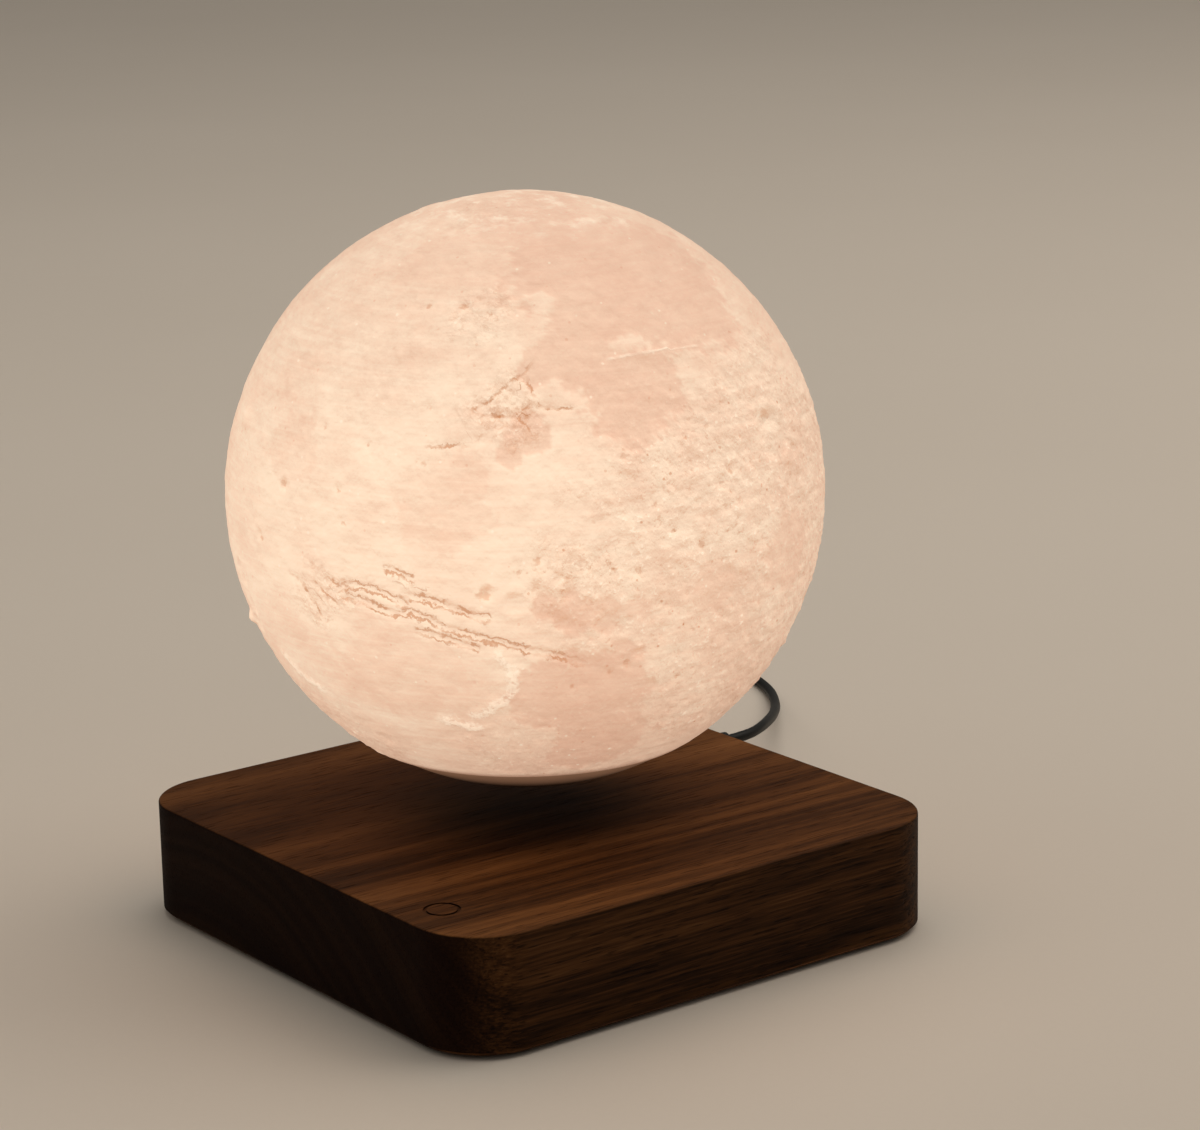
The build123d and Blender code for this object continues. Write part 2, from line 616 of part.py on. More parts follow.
# The smooth cap under the globe: spherical skin with ribs and screw bosses, magnet cup, collar and snaps
cap_edge_angle = -asin((globe_middle - rim_height) / cap_radius)
cap_flat_angle = -asin((globe_middle - cap_bottom) / cap_radius)
web_outer_height = globe_middle - below_middle(cap_inside, collar_inner)
web_inner_height = globe_middle - below_middle(cap_inside, cup_outer)
web_middle = (collar_inner + cup_outer) / 2
web_middle_height = globe_middle - below_middle(cap_inside, web_middle)
rib_inner = (cup_inner + cup_outer) / 2
rib_outer = (collar_inner + collar_outer) / 2
with BuildPart() as bottom_cap:
    with BuildSketch(Plane.XY.offset(receiver_coil_bottom)):
        with PolarLocations((rib_inner + rib_outer) / 2, CAP_RIBS):
            Rectangle(rib_outer - rib_inner, CAP_RIB_WIDTH)
    extrude(amount=cap_bottom - receiver_coil_bottom)
    with BuildSketch(Plane.XY.offset(collar_top)):
        with PolarLocations(boss_circle, BOSSES, start_angle=BOSS_ANGLE):
            Circle(BOSS_DIAMETER / 2)
    extrude(amount=cap_bottom - collar_top)
    with Locations((0, 0, globe_middle)):
        Sphere(cap_radius - CAP_WALL / 2, mode=Mode.INTERSECT)
    with BuildSketch(Plane.XZ):
        with BuildLine():
            Line((0, cap_bottom), (cup_outer, cap_bottom))
            ThreePointArc(
                (cup_outer, cap_bottom),
                arc_point(cap_radius, (cap_edge_angle + cap_flat_angle) / 2),
                arc_point(cap_radius, cap_edge_angle),
            )
            Polyline(
                arc_point(cap_radius, cap_edge_angle),
                (collar_outer, rim_height),
                (collar_outer, collar_top),
                (collar_inner, collar_top),
                (collar_inner, web_outer_height),
            )
            ThreePointArc(
                (collar_inner, web_outer_height),
                (web_middle, web_middle_height),
                (cup_outer, web_inner_height),
            )
            Polyline(
                (cup_outer, web_inner_height),
                (cup_outer, cup_top),
                (cup_inner, cup_top),
                (cup_inner, magnet_bottom),
                (0, magnet_bottom),
                (0, cap_bottom),
            )
        make_face()
    revolve(axis=Axis.Z)
    for snap in range(SNAPS):
        with BuildSketch(Plane.XZ.rotated((0, 0, snap * 360 / SNAPS))):
            with BuildLine():
                Polyline(
                    (collar_outer - CAP_COLLAR_WALL / 2, ledge_top + SNAP_GAP),
                    (collar_outer + CAP_COLLAR_GAP + SNAP_REACH, ledge_top + SNAP_GAP),
                    (collar_outer, ledge_top + SNAP_GAP + SNAP_HEIGHT),
                    (collar_outer - CAP_COLLAR_WALL / 2, ledge_top + SNAP_GAP + SNAP_HEIGHT),
                    close=True,
                )
            make_face()
        revolve(axis=Axis.Z, revolution_arc=SNAP_ARC)
    with Locations(Plane.XY.offset(collar_top)):
        with PolarLocations(boss_circle, BOSSES, start_angle=BOSS_ANGLE):
            Hole(BOARD_SCREW_SHANK / 2 + SCREW_GAP, depth=BOARD_SCREW_LENGTH - RECEIVER_BOARD_THICK)
bottom_cap.part.label = "bottom_cap"
export_step(bottom_cap.part, "parts/bottom_cap.step")

# The magnet disc that floats, in the cap's cup
with BuildPart() as float_magnet:
    with BuildSketch(Plane.XY.offset(magnet_bottom)):
        Circle(FLOAT_MAGNET_DIAMETER / 2)
    extrude(amount=FLOAT_MAGNET_HEIGHT)
    chamfer(float_magnet.edges(), MAGNET_EASE)
float_magnet.part.label = "float_magnet"
export_step(float_magnet.part, "parts/float_magnet.step")

# The coil that receives the power, round the cup
with BuildPart() as receiver_coil:
    with BuildSketch(Plane.XY.offset(receiver_coil_bottom)):
        Circle(receiver_coil_outer)
        Circle(receiver_coil_inner, mode=Mode.SUBTRACT)
    extrude(amount=RECEIVER_COIL_HEIGHT)
receiver_coil.part.label = "receiver_coil"
export_step(receiver_coil.part, "parts/receiver_coil.step")

# The receiver board on the collar, its screws, parts and lights
with BuildPart() as receiver_board:
    with BuildSketch(Plane.XY.offset(collar_top)):
        Circle(opening_radius - RECEIVER_BOARD_GAP)
        with PolarLocations(boss_circle, BOSSES, start_angle=BOSS_ANGLE):
            Circle(BOARD_SCREW_SHANK / 2 + SCREW_GAP, mode=Mode.SUBTRACT)
    extrude(amount=RECEIVER_BOARD_THICK)
receiver_board.part.label = "receiver_board"
export_step(receiver_board.part, "parts/receiver_board.step")

with BuildPart() as board_screws:
    with BuildSketch(Plane.XY.offset(receiver_board_top)):
        with PolarLocations(boss_circle, BOSSES, start_angle=BOSS_ANGLE):
            Circle(BOARD_SCREW_HEAD / 2)
    extrude(amount=BOARD_SCREW_HEAD_HEIGHT)
    with BuildSketch(Plane.XY.offset(receiver_board_top)):
        with PolarLocations(boss_circle, BOSSES, start_angle=BOSS_ANGLE):
            Circle(BOARD_SCREW_SHANK / 2)
    extrude(amount=-BOARD_SCREW_LENGTH)
    with BuildSketch(Plane.XY.offset(receiver_board_top + BOARD_SCREW_HEAD_HEIGHT)):
        with PolarLocations(boss_circle, BOSSES, start_angle=BOSS_ANGLE):
            cross(BOARD_SCREW_HEAD)
    extrude(amount=-DRIVE_DEPTH, mode=Mode.SUBTRACT)
board_screws.part.label = "board_screws"
export_step(board_screws.part, "parts/board_screws.step")

with BuildPart() as receiver_parts:
    with Locations(Plane.XY.offset(receiver_board_top)):
        with PolarLocations(RECEIVER_PART_CIRCLE, RECEIVER_PARTS, start_angle=RECTIFIER_ANGLE):
            Box(*RECTIFIER_SIZE, align=STANDING)
        with PolarLocations(RECEIVER_PART_CIRCLE, RECEIVER_PARTS, start_angle=CAPACITOR_ANGLE):
            Cylinder(CAPACITOR_DIAMETER / 2, CAPACITOR_HEIGHT, align=STANDING)
receiver_parts.part.label = "receiver_parts"
export_step(receiver_parts.part, "parts/receiver_parts.step")

with BuildPart() as light_chips:
    with Locations(Plane.XY.offset(receiver_board_top)):
        with PolarLocations(LIGHT_CIRCLE, LIGHTS):
            Box(LIGHT_SIZE, LIGHT_SIZE, LIGHT_HEIGHT, align=STANDING)
light_chips.part.label = "light_chips"
export_step(light_chips.part, "parts/light_chips.step")

# The plug in the inlet: metal sleeve, moulded grip and its grooved strain relief
with BuildPart() as plug_tip:
    with BuildSketch(inlet_face):
        Circle(PLUG_TIP_DIAMETER / 2)
        Circle(PLUG_TIP_BORE / 2, mode=Mode.SUBTRACT)
    extrude(amount=-PLUG_TIP_LENGTH)
plug_tip.part.label = "plug_tip"
export_step(plug_tip.part, "parts/plug_tip.step")


def relief_outline(start, wide, length, narrow):
    """Half the outline of a strain relief with ring grooves, from its root out along local X."""
    points = [(start, wide / 2)]
    step = length / (RELIEF_GROOVES + 1)
    for groove in range(1, RELIEF_GROOVES + 1):
        middle = groove * step
        radius = wide / 2 + (narrow - wide) / 2 * middle / length
        points.append((start + middle - RELIEF_GROOVE_WIDTH / 2, radius))
        points.append((start + middle - RELIEF_GROOVE_WIDTH / 2, radius - RELIEF_GROOVE_DEPTH))
        points.append((start + middle + RELIEF_GROOVE_WIDTH / 2, radius - RELIEF_GROOVE_DEPTH))
        points.append((start + middle + RELIEF_GROOVE_WIDTH / 2, radius))
    points.append((start + length, narrow / 2))
    return points


def turned(outline, end):
    """The closed outline of a turned piece whose axis is local X."""
    return [(0, 0), (0, outline[0][1]), *outline[1:], (end, 0)]


plug_length = PLUG_GRIP_LENGTH + RELIEF_LENGTH
relief_root = RELIEF_END_DIAMETER + 2 * RELIEF_GROOVE_DEPTH
plug_outline = relief_outline(PLUG_GRIP_LENGTH, relief_root, RELIEF_LENGTH, RELIEF_END_DIAMETER)
with BuildPart() as plug_grip:
    with BuildSketch(inlet_face):
        Circle(PLUG_GRIP_DIAMETER / 2)
    extrude(amount=PLUG_GRIP_LENGTH)
    fillet(plug_grip.faces().sort_by(Axis.Y)[-1].edges(), PLUG_GRIP_EASE)
    with BuildSketch(Plane(inlet_face.origin, x_dir=(0, 1, 0), z_dir=(1, 0, 0))):
        with BuildLine():
            Polyline(*turned(plug_outline, plug_length), close=True)
        make_face()
    revolve(axis=Axis(inlet_face.origin, (0, 1, 0)))
plug_grip.part.label = "plug_grip"
export_step(plug_grip.part, "parts/plug_grip.step")

# The cord, from the plug to the stored coil
cord_exit = (jack_x, base_back + plug_length, jack_z)
loop_pitch = CORD_DIAMETER + LOOP_GAP
loop_outer = LOOP_MIDDLE_RADIUS + loop_pitch * LOOP_HALF_TURNS / 4
loop_inner = LOOP_MIDDLE_RADIUS - loop_pitch * LOOP_HALF_TURNS / 4
loop_bottom = TIE_THICK + TIE_GAP + CORD_DIAMETER / 2
coil_left = cord_exit[0] + COIL_START[0]
coil_y = cord_exit[1] + COIL_START[1]
coil_x = coil_left + loop_outer


def route_points(offsets):
    """Route points given from the cord's exit, with heights over the table."""
    return [(cord_exit[0] + x, cord_exit[1] + y, z) for x, y, z in offsets]


def bend_radii(points):
    """The largest bend that each corner of a route has room for."""
    radii = []
    for before, here, after in zip(points, points[1:], points[2:]):
        turn = (Vector(*here) - Vector(*before)).get_angle(Vector(*after) - Vector(*here))
        shorter = min(dist(before, here), dist(here, after))
        radii.append(BEND_SHARE * shorter / tan(radians(turn) / 2))
    return radii


def across(points):
    """The plane that a route starts square to."""
    return Plane(origin=points[0], z_dir=Vector(*points[1]) - Vector(*points[0]))


def report_tube(name, tube, line):
    """Prints a tube's volume beside its section times its length."""
    expected = pi * CORD_DIAMETER**2 / 4 * line.length
    print(f"{name}: length {line.length:.1f}, volume {tube.volume:.1f} of {expected:.1f}")


free_points = [
    cord_exit,
    (cord_exit[0], cord_exit[1] + FREE_FIRST_RUN, cord_exit[2]),
    *route_points(FREE_ROUTE),
    (coil_left, coil_y + FREE_LAST_RUN, loop_bottom),
    (coil_left, coil_y, loop_bottom),
]
free_radii = bend_radii(free_points)
print("cord bend radii", [round(radius, 1) for radius in free_radii])
with BuildPart() as power_cord:
    with BuildLine() as free_line:
        FilletPolyline(*free_points, radius=free_radii)
    with BuildSketch(across(free_points)):
        Circle(CORD_DIAMETER / 2)
    sweep(path=free_line.line)
report_tube("power_cord", power_cord.part, free_line.wire())
power_cord.part.label = "power_cord"
export_step(power_cord.part, "parts/power_cord.step")

# The stored length: half turns that spiral in and out in layers, climbing where the spiral turns back
crossings = [(-loop_outer, loop_bottom)]
side = -1
for layer in range(LOOP_LAYERS):
    height = loop_bottom + layer * loop_pitch
    step = -loop_pitch / 2 if layer % 2 == 0 else loop_pitch / 2
    reach = loop_outer if layer % 2 == 0 else loop_inner
    last_layer = layer == LOOP_LAYERS - 1
    for half_turn in range(LOOP_HALF_TURNS - last_layer):
        side = -side
        reach += step
        crossings.append((side * reach, height))
    if not last_layer:
        side = -side
        crossings.append((side * reach, height + loop_pitch))

with BuildPart() as cord_coil:
    with BuildLine() as coil_line:
        for (start_x, start_z), (end_x, end_z) in zip(crossings, crossings[1:]):
            half_width = dist((start_x, start_z), (end_x, end_z)) / 2
            below = -1 if start_x < end_x else 1
            ThreePointArc(
                (coil_x + start_x, coil_y, start_z),
                (coil_x + (start_x + end_x) / 2, coil_y + below * half_width, (start_z + end_z) / 2),
                (coil_x + end_x, coil_y, end_z),
            )
    with BuildSketch(Plane(origin=(coil_left, coil_y, loop_bottom), z_dir=(0, -1, 0))):
        Circle(CORD_DIAMETER / 2)
    sweep(path=coil_line.line)
report_tube("cord_coil", cord_coil.part, coil_line.wire())
cord_coil.part.label = "cord_coil"
export_step(cord_coil.part, "parts/cord_coil.step")


def least_self_gap(line, samples, skip):
    """The least clear distance between stretches of a coil, leaving out those next to each other."""
    points = [tuple(line.position_at(sample / samples)) for sample in range(samples + 1)]
    nearest = min(
        dist(first, second)
        for index, first in enumerate(points)
        for second in points[index + skip :]
    )
    return nearest - CORD_DIAMETER


half_turn_samples = round(COIL_SAMPLES * pi * loop_inner / coil_line.wire().length)
coil_gap = least_self_gap(coil_line.wire(), COIL_SAMPLES, half_turn_samples)
print(f"cord_coil: least gap to itself {coil_gap:.2f}")

# The tie round the coil's bundle, at the side towards the lamp
bundle_width = loop_outer - loop_inner + CORD_DIAMETER + 2 * TIE_GAP
bundle_height = (LOOP_LAYERS - 1) * loop_pitch + CORD_DIAMETER + 2 * TIE_GAP
tie_middle = (coil_x + LOOP_MIDDLE_RADIUS, coil_y, TIE_THICK + bundle_height / 2)
with BuildPart() as cord_tie:
    with BuildSketch(upright(*tie_middle, (0, 1, 0))):
        RectangleRounded(bundle_width, bundle_height, CORD_DIAMETER / 2)
        offset(amount=TIE_THICK)
        RectangleRounded(bundle_width, bundle_height, CORD_DIAMETER / 2, mode=Mode.SUBTRACT)
    extrude(amount=TIE_WIDTH / 2, both=True)
cord_tie.part.label = "cord_tie"
export_step(cord_tie.part, "parts/cord_tie.step")

# The cord's tail from the top of the coil to the wall adapter
tail_start = (coil_x + crossings[-1][0], coil_y, crossings[-1][1])
adapter_z = ADAPTER_HEIGHT / 2
adapter_face = (cord_exit[0] + TAIL_END[0], cord_exit[1] + TAIL_END[1], adapter_z)
tail_points = [
    tail_start,
    (tail_start[0], tail_start[1] - TAIL_FIRST_RUN, tail_start[2]),
    *route_points(TAIL_ROUTE),
    (adapter_face[0] - TAIL_LAST_RUN, adapter_face[1], adapter_z),
    adapter_face,
]
tail_radii = bend_radii(tail_points)
print("tail bend radii", [round(radius, 1) for radius in tail_radii])
with BuildPart() as cord_tail:
    with BuildLine() as tail_line:
        FilletPolyline(*tail_points, radius=tail_radii)
    with BuildSketch(across(tail_points)):
        Circle(CORD_DIAMETER / 2)
    sweep(path=tail_line.line)
report_tube("cord_tail", cord_tail.part, tail_line.wire())
cord_tail.part.label = "cord_tail"
export_step(cord_tail.part, "parts/cord_tail.step")

# The wall adapter, lying on its front with the blades up
adapter_start = adapter_face[0] + ADAPTER_RELIEF_LENGTH
adapter_middle = (adapter_start + ADAPTER_LENGTH / 2, adapter_face[1])
adapter_end = Plane(origin=(adapter_start, adapter_face[1], adapter_z), x_dir=(-1, 0, 0), z_dir=(0, 1, 0))
adapter_outline = relief_outline(0, ADAPTER_RELIEF_DIAMETER, ADAPTER_RELIEF_LENGTH, RELIEF_END_DIAMETER)
with BuildPart() as adapter_relief:
    with BuildSketch(adapter_end):
        with BuildLine():
            Polyline(*turned(adapter_outline, ADAPTER_RELIEF_LENGTH), close=True)
        make_face()
    revolve(axis=Axis(adapter_face, (1, 0, 0)))
adapter_relief.part.label = "adapter_relief"
export_step(adapter_relief.part, "parts/adapter_relief.step")

blade_x = adapter_start + ADAPTER_LENGTH - BLADE_INSET
with BuildPart() as adapter_body:
    with BuildSketch():
        with Locations(adapter_middle):
            RectangleRounded(ADAPTER_LENGTH, ADAPTER_WIDTH, ADAPTER_CORNER)
    extrude(amount=ADAPTER_HEIGHT)
    fillet(adapter_body.faces().sort_by(Axis.Z)[0].edges(), ADAPTER_EASE)
    fillet(adapter_body.faces().sort_by(Axis.Z)[-1].edges(), ADAPTER_EASE)
    with BuildSketch(Plane.XY.offset(ADAPTER_HEIGHT - ADAPTER_SEAM_DROP)):
        with Locations(adapter_middle):
            RectangleRounded(ADAPTER_LENGTH, ADAPTER_WIDTH, ADAPTER_CORNER)
            RectangleRounded(
                ADAPTER_LENGTH - 2 * ADAPTER_SEAM,
                ADAPTER_WIDTH - 2 * ADAPTER_SEAM,
                ADAPTER_CORNER - ADAPTER_SEAM,
                mode=Mode.SUBTRACT,
            )
    extrude(amount=ADAPTER_SEAM, mode=Mode.SUBTRACT)
    with BuildSketch(Plane.XY.offset(ADAPTER_HEIGHT)):
        with Locations((blade_x, adapter_middle[1])):
            with GridLocations(0, BLADE_SPACING, 1, 2):
                Rectangle(BLADE_WIDTH, BLADE_THICK)
    extrude(amount=-BLADE_ROOT, mode=Mode.SUBTRACT)
adapter_body.part.label = "adapter_body"
export_step(adapter_body.part, "parts/adapter_body.step")

blade_bottom = ADAPTER_HEIGHT - BLADE_ROOT
with BuildPart() as adapter_blades:
    for blade_side in (-1, 1):
        blade_y = adapter_middle[1] + blade_side * BLADE_SPACING / 2
        with BuildSketch(upright(blade_x, blade_y, blade_bottom, (0, 1, 0))):
            with Locations((0, (BLADE_ROOT + BLADE_LENGTH) / 2)):
                blade = Rectangle(BLADE_WIDTH, BLADE_ROOT + BLADE_LENGTH)
            chamfer(blade.vertices().group_by(Axis.Z)[-1], BLADE_TIP_EASE)
            with Locations((0, BLADE_ROOT + BLADE_HOLE_RISE)):
                Circle(BLADE_HOLE / 2, mode=Mode.SUBTRACT)
        extrude(amount=BLADE_THICK / 2, both=True)
adapter_blades.part.label = "adapter_blades"
export_step(adapter_blades.part, "parts/adapter_blades.step")

print(f"base {BASE_SIDE:.1f} wide, {wood_top:.2f} high; globe middle at {globe_middle:.2f}")
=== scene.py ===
"""Looks of the levitating lamp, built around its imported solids. Metres, +Z up."""

import json
import math

import bpy
import numpy as np
from mathutils import Matrix, Vector, noise


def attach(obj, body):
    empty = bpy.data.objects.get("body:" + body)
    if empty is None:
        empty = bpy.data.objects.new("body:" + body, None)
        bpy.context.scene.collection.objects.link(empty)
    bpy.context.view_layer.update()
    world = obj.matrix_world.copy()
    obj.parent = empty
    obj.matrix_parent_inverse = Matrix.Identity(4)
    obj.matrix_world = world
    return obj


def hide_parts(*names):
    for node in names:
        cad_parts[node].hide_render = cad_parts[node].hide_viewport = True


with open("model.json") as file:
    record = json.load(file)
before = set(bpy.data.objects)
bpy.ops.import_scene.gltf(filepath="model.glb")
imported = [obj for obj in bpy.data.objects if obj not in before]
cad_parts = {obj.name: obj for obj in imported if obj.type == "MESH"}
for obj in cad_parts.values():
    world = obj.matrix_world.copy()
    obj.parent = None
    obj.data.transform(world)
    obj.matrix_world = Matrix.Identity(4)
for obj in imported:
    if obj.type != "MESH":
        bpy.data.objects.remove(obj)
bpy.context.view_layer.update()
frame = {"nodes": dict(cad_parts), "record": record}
nodes = frame["nodes"]

MM = 0.001

# The photograph's camera
CAMERA_PLACE = (0.70853, -0.51041, 0.31924)
CAMERA_AZIMUTH = 53.036
CAMERA_ELEVATION = 14.499
CAMERA_ROLL = -1.164
CAMERA_LENS = 107.15
SENSOR_WIDTH = 36.0
NEAREST_SEEN = 0.01
FARTHEST_SEEN = 50.0

# The wooden base, in millimetres
WOOD_TOP = 30.7
TOUCH_PLACE = (50.0, -63.5)
TOUCH_OUTER = 4.5
TOUCH_INNER = 3.7
TOUCH_EDGE = 0.25
PITH_PLACE = (-40.0, -85.0)
PITH_WANDER = 30.0
RING_RIPPLE = 2.2

# The globe, in millimetres
GLOBE_RADIUS = 75.0
GLOBE_MIDDLE = 113.24
SHELL_WALL = 2.0
RIM_RADIUS = 42.5
OPENING_RADIUS = 36.2
LEDGE_THICK = 2.0

# The power lead, in millimetres
CORD_DIAMETER = 3.0


def aim_camera():
    """The camera at the photograph's place and angle."""
    azimuth = math.radians(CAMERA_AZIMUTH)
    elevation = math.radians(CAMERA_ELEVATION)
    back = Vector(
        (
            math.sin(azimuth) * math.cos(elevation),
            -math.cos(azimuth) * math.cos(elevation),
            math.sin(elevation),
        )
    )
    right = (-back).cross(Vector((0, 0, 1))).normalized()
    up = right.cross(-back)
    turn = Matrix.Rotation(math.radians(CAMERA_ROLL), 3, back)
    right, up = turn @ right, turn @ up
    data = bpy.data.cameras.new("camera")
    data.lens = CAMERA_LENS
    data.sensor_width = SENSOR_WIDTH
    data.clip_start = NEAREST_SEEN
    data.clip_end = FARTHEST_SEEN
    camera = bpy.data.objects.new("camera", data)
    bpy.context.scene.collection.objects.link(camera)
    axes = Matrix((right, up, back)).transposed().to_4x4()
    camera.matrix_world = Matrix.Translation(CAMERA_PLACE) @ axes
    bpy.context.scene.camera = camera


aim_camera()


class Signal:
    """One output of a finish's node. Arithmetic with numbers and other signals adds Math nodes."""

    def __init__(self, finish, socket):
        self.finish = finish
        self.socket = socket

    def math(self, operation, *values):
        """A Math node on numbers and signals."""
        return self.finish.node("ShaderNodeMath", {"operation": operation}, dict(enumerate(values)))

    def __add__(self, other):
        return self.math("ADD", self, other)

    def __sub__(self, other):
        return self.math("SUBTRACT", self, other)

    def __rsub__(self, other):
        return self.math("SUBTRACT", other, self)

    def __mul__(self, other):
        return self.math("MULTIPLY", self, other)

    def __abs__(self):
        return self.math("ABSOLUTE", self)

    __radd__ = __add__
    __rmul__ = __mul__

    def root(self):
        return self.math("SQRT", self)

    def sine(self):
        return self.math("SINE", self)

    def larger(self, other):
        """The larger of two."""
        return self.math("MAXIMUM", self, other)

    def rise(self, low, high):
        """0 below low and 1 above high, with a smooth step between. A low above high gives a fall."""
        return self.finish.node(
            "ShaderNodeMapRange",
            {"interpolation_type": "SMOOTHSTEP"},
            {"Value": self, "From Min": low, "From Max": high},
        )

    def zone(self, levels):
        """A rise between two levels in millimetres."""
        return self.rise(levels[0] * MM, levels[1] * MM)

    def part(self, name):
        """Another output of the same node."""
        return Signal(self.finish, self.socket.node.outputs[name])


class Finish:
    """A node material with one shader, whose fixed values are set on its own sockets."""

    def __init__(self, name, **fixed):
        self.material = bpy.data.materials.new(name)
        self.material.use_nodes = True
        self.tree = self.material.node_tree
        self.shader = self.tree.nodes["Principled BSDF"]
        self.feed(self.shader, {key.replace("_", " "): value for key, value in fixed.items()})
        self.place = self.node("ShaderNodeTexCoord", {}, {}, "Object")

    def feed(self, node, values):
        """Links signals to a node's sockets, and sets the sockets of plain values."""
        for key, value in values.items():
            if isinstance(value, Signal):
                self.tree.links.new(value.socket, node.inputs[key])
            else:
                node.inputs[key].default_value = value

    def node(self, kind, settings, values, out=0):
        """Any node: its settings first, then the values or links of its sockets."""
        made = self.tree.nodes.new(kind)
        for key, value in settings.items():
            if key == "stops":
                elements = made.color_ramp.elements
                elements[0].position, elements[1].position = value[0][0], value[-1][0]
                for spot, _ in value[1:-1]:
                    elements.new(spot)
                for element, (_, colour) in zip(elements, value):
                    element.color = (*colour, 1.0)
            else:
                setattr(made, key, value)
        self.feed(made, values)
        return Signal(self, made.outputs[out])

    def stretched(self, x, y, z):
        """The place with each axis scaled by its own number."""
        return self.node("ShaderNodeVectorMath", {"operation": "MULTIPLY"}, {0: self.place, 1: (x, y, z)})

    def raised(self, step):
        """The place a step up the lamp."""
        return self.node("ShaderNodeVectorMath", {"operation": "ADD"}, {0: self.place, 1: (0.0, 0.0, step)})

    def axes(self, place=None):
        """The three numbers of a vector, or of the place on the lamp."""
        split = self.node("ShaderNodeSeparateXYZ", {}, {0: place or self.place})
        return split, split.part("Y"), split.part("Z")

    def joined(self, x, y, z):
        """A vector from three numbers."""
        return self.node("ShaderNodeCombineXYZ", {}, {0: x, 1: y, 2: z})

    def clouds(self, place, scale, detail=2.0, rough=0.5):
        """Cloudy noise from 0 to 1."""
        values = {"Vector": place, "Scale": scale, "Detail": detail, "Roughness": rough}
        return self.node("ShaderNodeTexNoise", {}, values)

    def cells(self, place, scale, feature="F1"):
        """Distance to the middles of random cells, or to their edges."""
        return self.node("ShaderNodeTexVoronoi", {"feature": feature}, {"Vector": place, "Scale": scale})

    def stored(self, name):
        """A number kept on the mesh's points."""
        return self.node("ShaderNodeAttribute", {"attribute_name": name}, {}, "Fac")

    def facing(self):
        """The surface's own direction in the lamp's axes."""
        return self.node("ShaderNodeTexCoord", {}, {}, "Normal")

    def blend(self, share, low, high, way="MIX"):
        """A colour between two, or one colour laid on another."""
        values = {0: share}
        for socket, colour in ((6, low), (7, high)):
            values[socket] = colour if isinstance(colour, Signal) else (*colour, 1.0)
        return self.node("ShaderNodeMix", {"data_type": "RGBA", "blend_type": way}, values, 2)

    def stops(self, value, *stops):
        """A colour ramp from places and colours."""
        return self.node("ShaderNodeValToRGB", {"stops": stops}, {0: value})

    def bump(self, height, distance):
        """Fine relief on the shader's own normal."""
        values = {"Height": height, "Distance": distance, "Strength": 1.0}
        self.feed(self.shader, {"Normal": self.node("ShaderNodeBump", {}, values)})

    def finish(self, **values):
        """Feeds the shader and gives the material."""
        self.feed(self.shader, {key.replace("_", " "): value for key, value in values.items()})
        return self.material


def moulded(name, dark, light, rough, grain=0.5, proud=0.02, **fixed):
    """Moulded plastic or rubber: a fine spark texture, cloudy colour and uneven sheen."""
    f = Finish(name, **fixed)
    cloud = f.clouds(f.place, 90.0, 3.0)
    spark = f.clouds(f.place, 1.0 / (grain * MM), 3.0, 0.6)
    f.bump(spark, proud * MM)
    return f.finish(
        Base_Color=f.blend(cloud.rise(0.3, 0.7) * 0.7 + spark * 0.3, dark, light),
        Roughness=rough - 0.08 + 0.12 * cloud + 0.06 * spark,
    )


def plated(name, dark, light, rough):
    """Plated or drawn metal with faint drawing lines and dull spots."""
    f = Finish(name, Metallic=1.0)
    lines = f.clouds(f.stretched(1.0, 1.0, 0.06), 2600.0, 2.0)
    dull = f.clouds(f.place, 160.0, 3.0)
    f.bump(lines, 0.01 * MM)
    return f.finish(
        Base_Color=f.blend(dull.rise(0.35, 0.7), light, dark),
        Roughness=rough + 0.12 * dull.rise(0.4, 0.75) + 0.08 * lines,
    )


def wound(name, pitch, flat):
    """Enamelled copper wire. Flat coils show rings of wire, and coils on bobbins show stacked turns."""
    f = Finish(name, Metallic=0.9, Coat_Weight=0.5, Coat_Roughness=0.15)
    x, y, z = f.axes()
    across = (x * x + y * y).root() if flat else z
    turn = (across * (2.0 * math.pi / (pitch * MM))).sine() * 0.5 + 0.5
    tint = f.clouds(f.place, 220.0, 2.0)
    f.bump(turn, 0.12 * MM)
    # The dark bands between the turns are painted shade, and the light bands on the turns painted highlight
    return f.finish(
        Base_Color=f.blend(turn * 0.7 + tint * 0.3, (0.23, 0.06, 0.022), (0.72, 0.27, 0.11)),
        Roughness=0.42 - 0.18 * turn,
    )


def laminate(name, mask, track):
    """Circuit board with buried tracks under its coloured mask."""
    f = Finish(name, Coat_Weight=0.3, Coat_Roughness=0.2)
    edge = f.cells(f.stretched(1.0, 1.0, 0.02), 190.0, "DISTANCE_TO_EDGE").rise(0.09, 0.05)
    weave = f.clouds(f.place, 1500.0, 2.0)
    f.bump(edge, 0.03 * MM)
    return f.finish(
        Base_Color=f.blend(edge * 0.8 + weave * 0.2, mask, track),
        Roughness=0.36 + 0.12 * weave,
    )


def sintered(name, dark, light, rough, metallic):
    """Sintered or cast block: speckled, with a granular skin."""
    f = Finish(name, Metallic=metallic)
    grain = f.clouds(f.place, 1400.0, 3.0, 0.65)
    chips = f.cells(f.place, 420.0).rise(0.1, 0.4)
    f.bump(grain, 0.03 * MM)
    return f.finish(
        Base_Color=f.blend(grain * 0.6 + chips * 0.4, dark, light),
        Roughness=rough + 0.15 * grain,
    )


